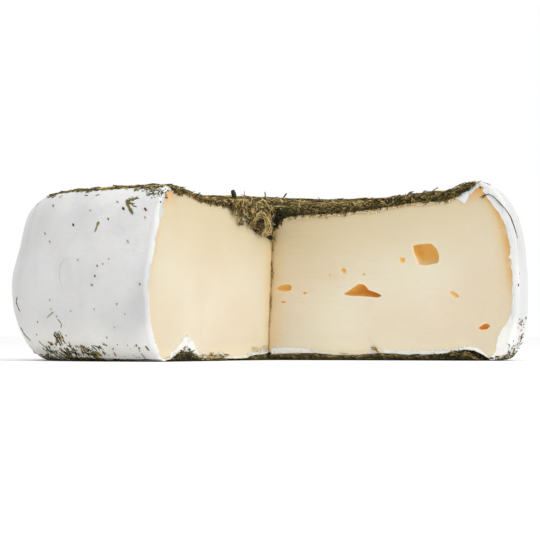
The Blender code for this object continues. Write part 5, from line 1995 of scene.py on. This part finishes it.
# %% Rind finishes
def mould(name, white, shade, stain):
    """White mould: soft clouds of shade, painted light and a stain near the floor, whiter lips, noted greys
    and whites that hold painted shade and light, and a powdery bump.
    """
    made = Finish(name, 0.92, 0.2)
    height = made.along("Z")
    made.colour = made.mix(made.noise(26, 0.42, 0.7), white, shade)
    made.lay(shade, made.noise(75, 0.5, 0.72), 0.35)
    made.lay(stain, made.noise(150, 0.62, 0.95))
    # Painted light: the mould is made whiter towards the floor, below about 22 mm.
    made.lay((244, 242, 236), made.ramp(height, 0.022, 0.005), 0.85)
    made.lay(stain, made.ramp(height, 0.013, 0.002), made.noise(70, 0.42, 0.6), 0.6)
    # Greyer where noted: patches of old mould, and painted shade on the right shoulder.
    made.lay((199, 200, 199), made.noted("grey"))
    # Whiter where noted: torn lips, and painted light low on the right side.
    made.lay((237, 237, 238), made.noted("lip"))
    made.glow(0.2, 0.002)
    made.raised((made.noise(260, 0.3, 0.7), 0.0001), (made.noise(1500, 0.3, 0.7), 0.00005))
    return made


top_strips = [piece for piece in strips if piece.name.endswith("_top")]
left_strips = [piece for piece in strips if piece.name == "rind_left_side"]
other_strips = [piece for piece in strips if piece not in top_strips + left_strips]
# The torn mould comes in two copies: painted shade on the left face's outer edge, and painted light on the
# other torn edges.
for name, pieces, *colours in (
    ("white_mould", [rind], (221, 221, 220), (205, 205, 205), (214, 208, 194)),
    ("torn_mould_left", left_strips, (207, 208, 209), (202, 201, 199), (208, 203, 192)),
    ("torn_mould_right", [*other_strips, white_crumbs], (230, 231, 232), (225, 223, 218), (228, 222, 208)),
    ("thin_crust", top_strips, (236, 218, 184), (226, 190, 132), (206, 150, 92)),
):
    mould(name, *colours).dress(*pieces)

# %% [markdown]
# ## The colour of crumbs, scar and run paste
#
# The crumbs of crust go from cream to golden brown, as bread crust does, and here the tone that each
# crumb carries decides it. The scar is a faint beige, hardly darker than the mould. Paste that has
# run is paler than the cut face, because it is thin and light goes far into it.

# %% Small finishes
crust = Finish("crust_crumbs", 0.85, 0.2)
tone = crust.noted("tone")
crust.colour = crust.mix(crust.ramp(tone, 0.3, 0.7), (236, 224, 192), (226, 192, 124))
crust.lay((198, 146, 82), crust.ramp(tone, 0.8, 1))
crust.raised((crust.noise(900, 0.3, 0.7), 0.0001))
crust.dress(crumbs)

beige = Finish("faint_scar", 0.92, 0.2)
beige.colour = beige.mix(beige.noise(120, 0.4, 0.6), (212, 207, 200), (204, 196, 186))
beige.dress(scar)

run_paste = Finish("run_paste", 0.5, 0.4)
run_paste.colour = run_paste.mix(run_paste.noise(240, 0.35, 0.65), (236, 227, 208), (234, 216, 176))
run_paste.glow(0.5, 0.002, LIGHT_IN_PASTE)
run_paste.dress(*drops)

# %% [markdown]
# ## The colour of the needles
#
# Dry larch needles run from almost black through olive and brown to straw. One material with a colour
# ramp serves them all, because each needle carries its tone, and a noise darkens parts of it. The
# cores of the beds only have to look like deep shade between needles, so they are nearly black, with
# coarse bumps.

# %% Needle finishes
NEEDLE_TONES = ((0.0, (38, 33, 20)), (0.2, (90, 85, 44)), (0.4, (150, 136, 74)), (0.56, (154, 114, 62)),
                (0.75, (212, 182, 112)), (1.0, (238, 214, 154)))

larch = Finish("larch_needles", 0.72, 0.3)
tones = larch.node("ValToRGB", Fac=larch.noted("tone"))
for _ in NEEDLE_TONES[2:]:
    tones.color_ramp.elements.new(0.5)
for element, (place, colour) in zip(tones.color_ramp.elements, NEEDLE_TONES):
    element.position = place
    element.color = linear(*colour)
larch.colour = tones.outputs["Color"]
larch.lay((60, 54, 32), larch.noise(420, 0.35, 0.7), 0.38)
larch.raised((larch.noise(1800, 0.3, 0.7), 0.00005))
larch.dress(*[piece for piece in scene.objects if piece.name.startswith("needles_")])

felt = Finish("felted_needles", 0.9, 0.2)
felt.colour = felt.mix(felt.noise(700, 0.4, 0.65), (28, 24, 15), (66, 57, 34))
felt.raised((felt.noise(600, 0.3, 0.7), 0.0006))
felt.dress(top_core, bottom_core, clump)

# %% [markdown]
# ## The colour of the floor
#
# The floor is a pale board that burns out to white in the light, as a photographer's paper does. Its
# noise is so faint and so wide that it only keeps the shadow under the wheel from looking dead.

# %% Floor finish
paper = Finish("pale_floor", 0.9, 0.1)
paper.colour = paper.mix(paper.noise(3, 0.3, 0.7), (247, 247, 247), (249.3, 249.3, 249.3))
paper.dress(floor)

# %% [markdown]
# ## Sizes, and the end
#
# The dressed part's box is printed against the solid model's. The dressed part has to
# keep to the solid model's box.

# %% Write the sizes and finish
dressed_low, dressed_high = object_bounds()
growth = [round((b - a) * 1000, 1) for a, b in zip((*solid_low, *solid_high), (*dressed_low, *dressed_high))]
print("dressed box against the solid one, mm:", growth)
triangles = {piece.name: sum(len(face.vertices) - 2 for face in piece.data.polygons)
             for piece in scene.objects if piece.type == "MESH" and not piece.hide_render}
print("most triangles in a piece:", max(triangles.values()), "and in all:", sum(triangles.values()))
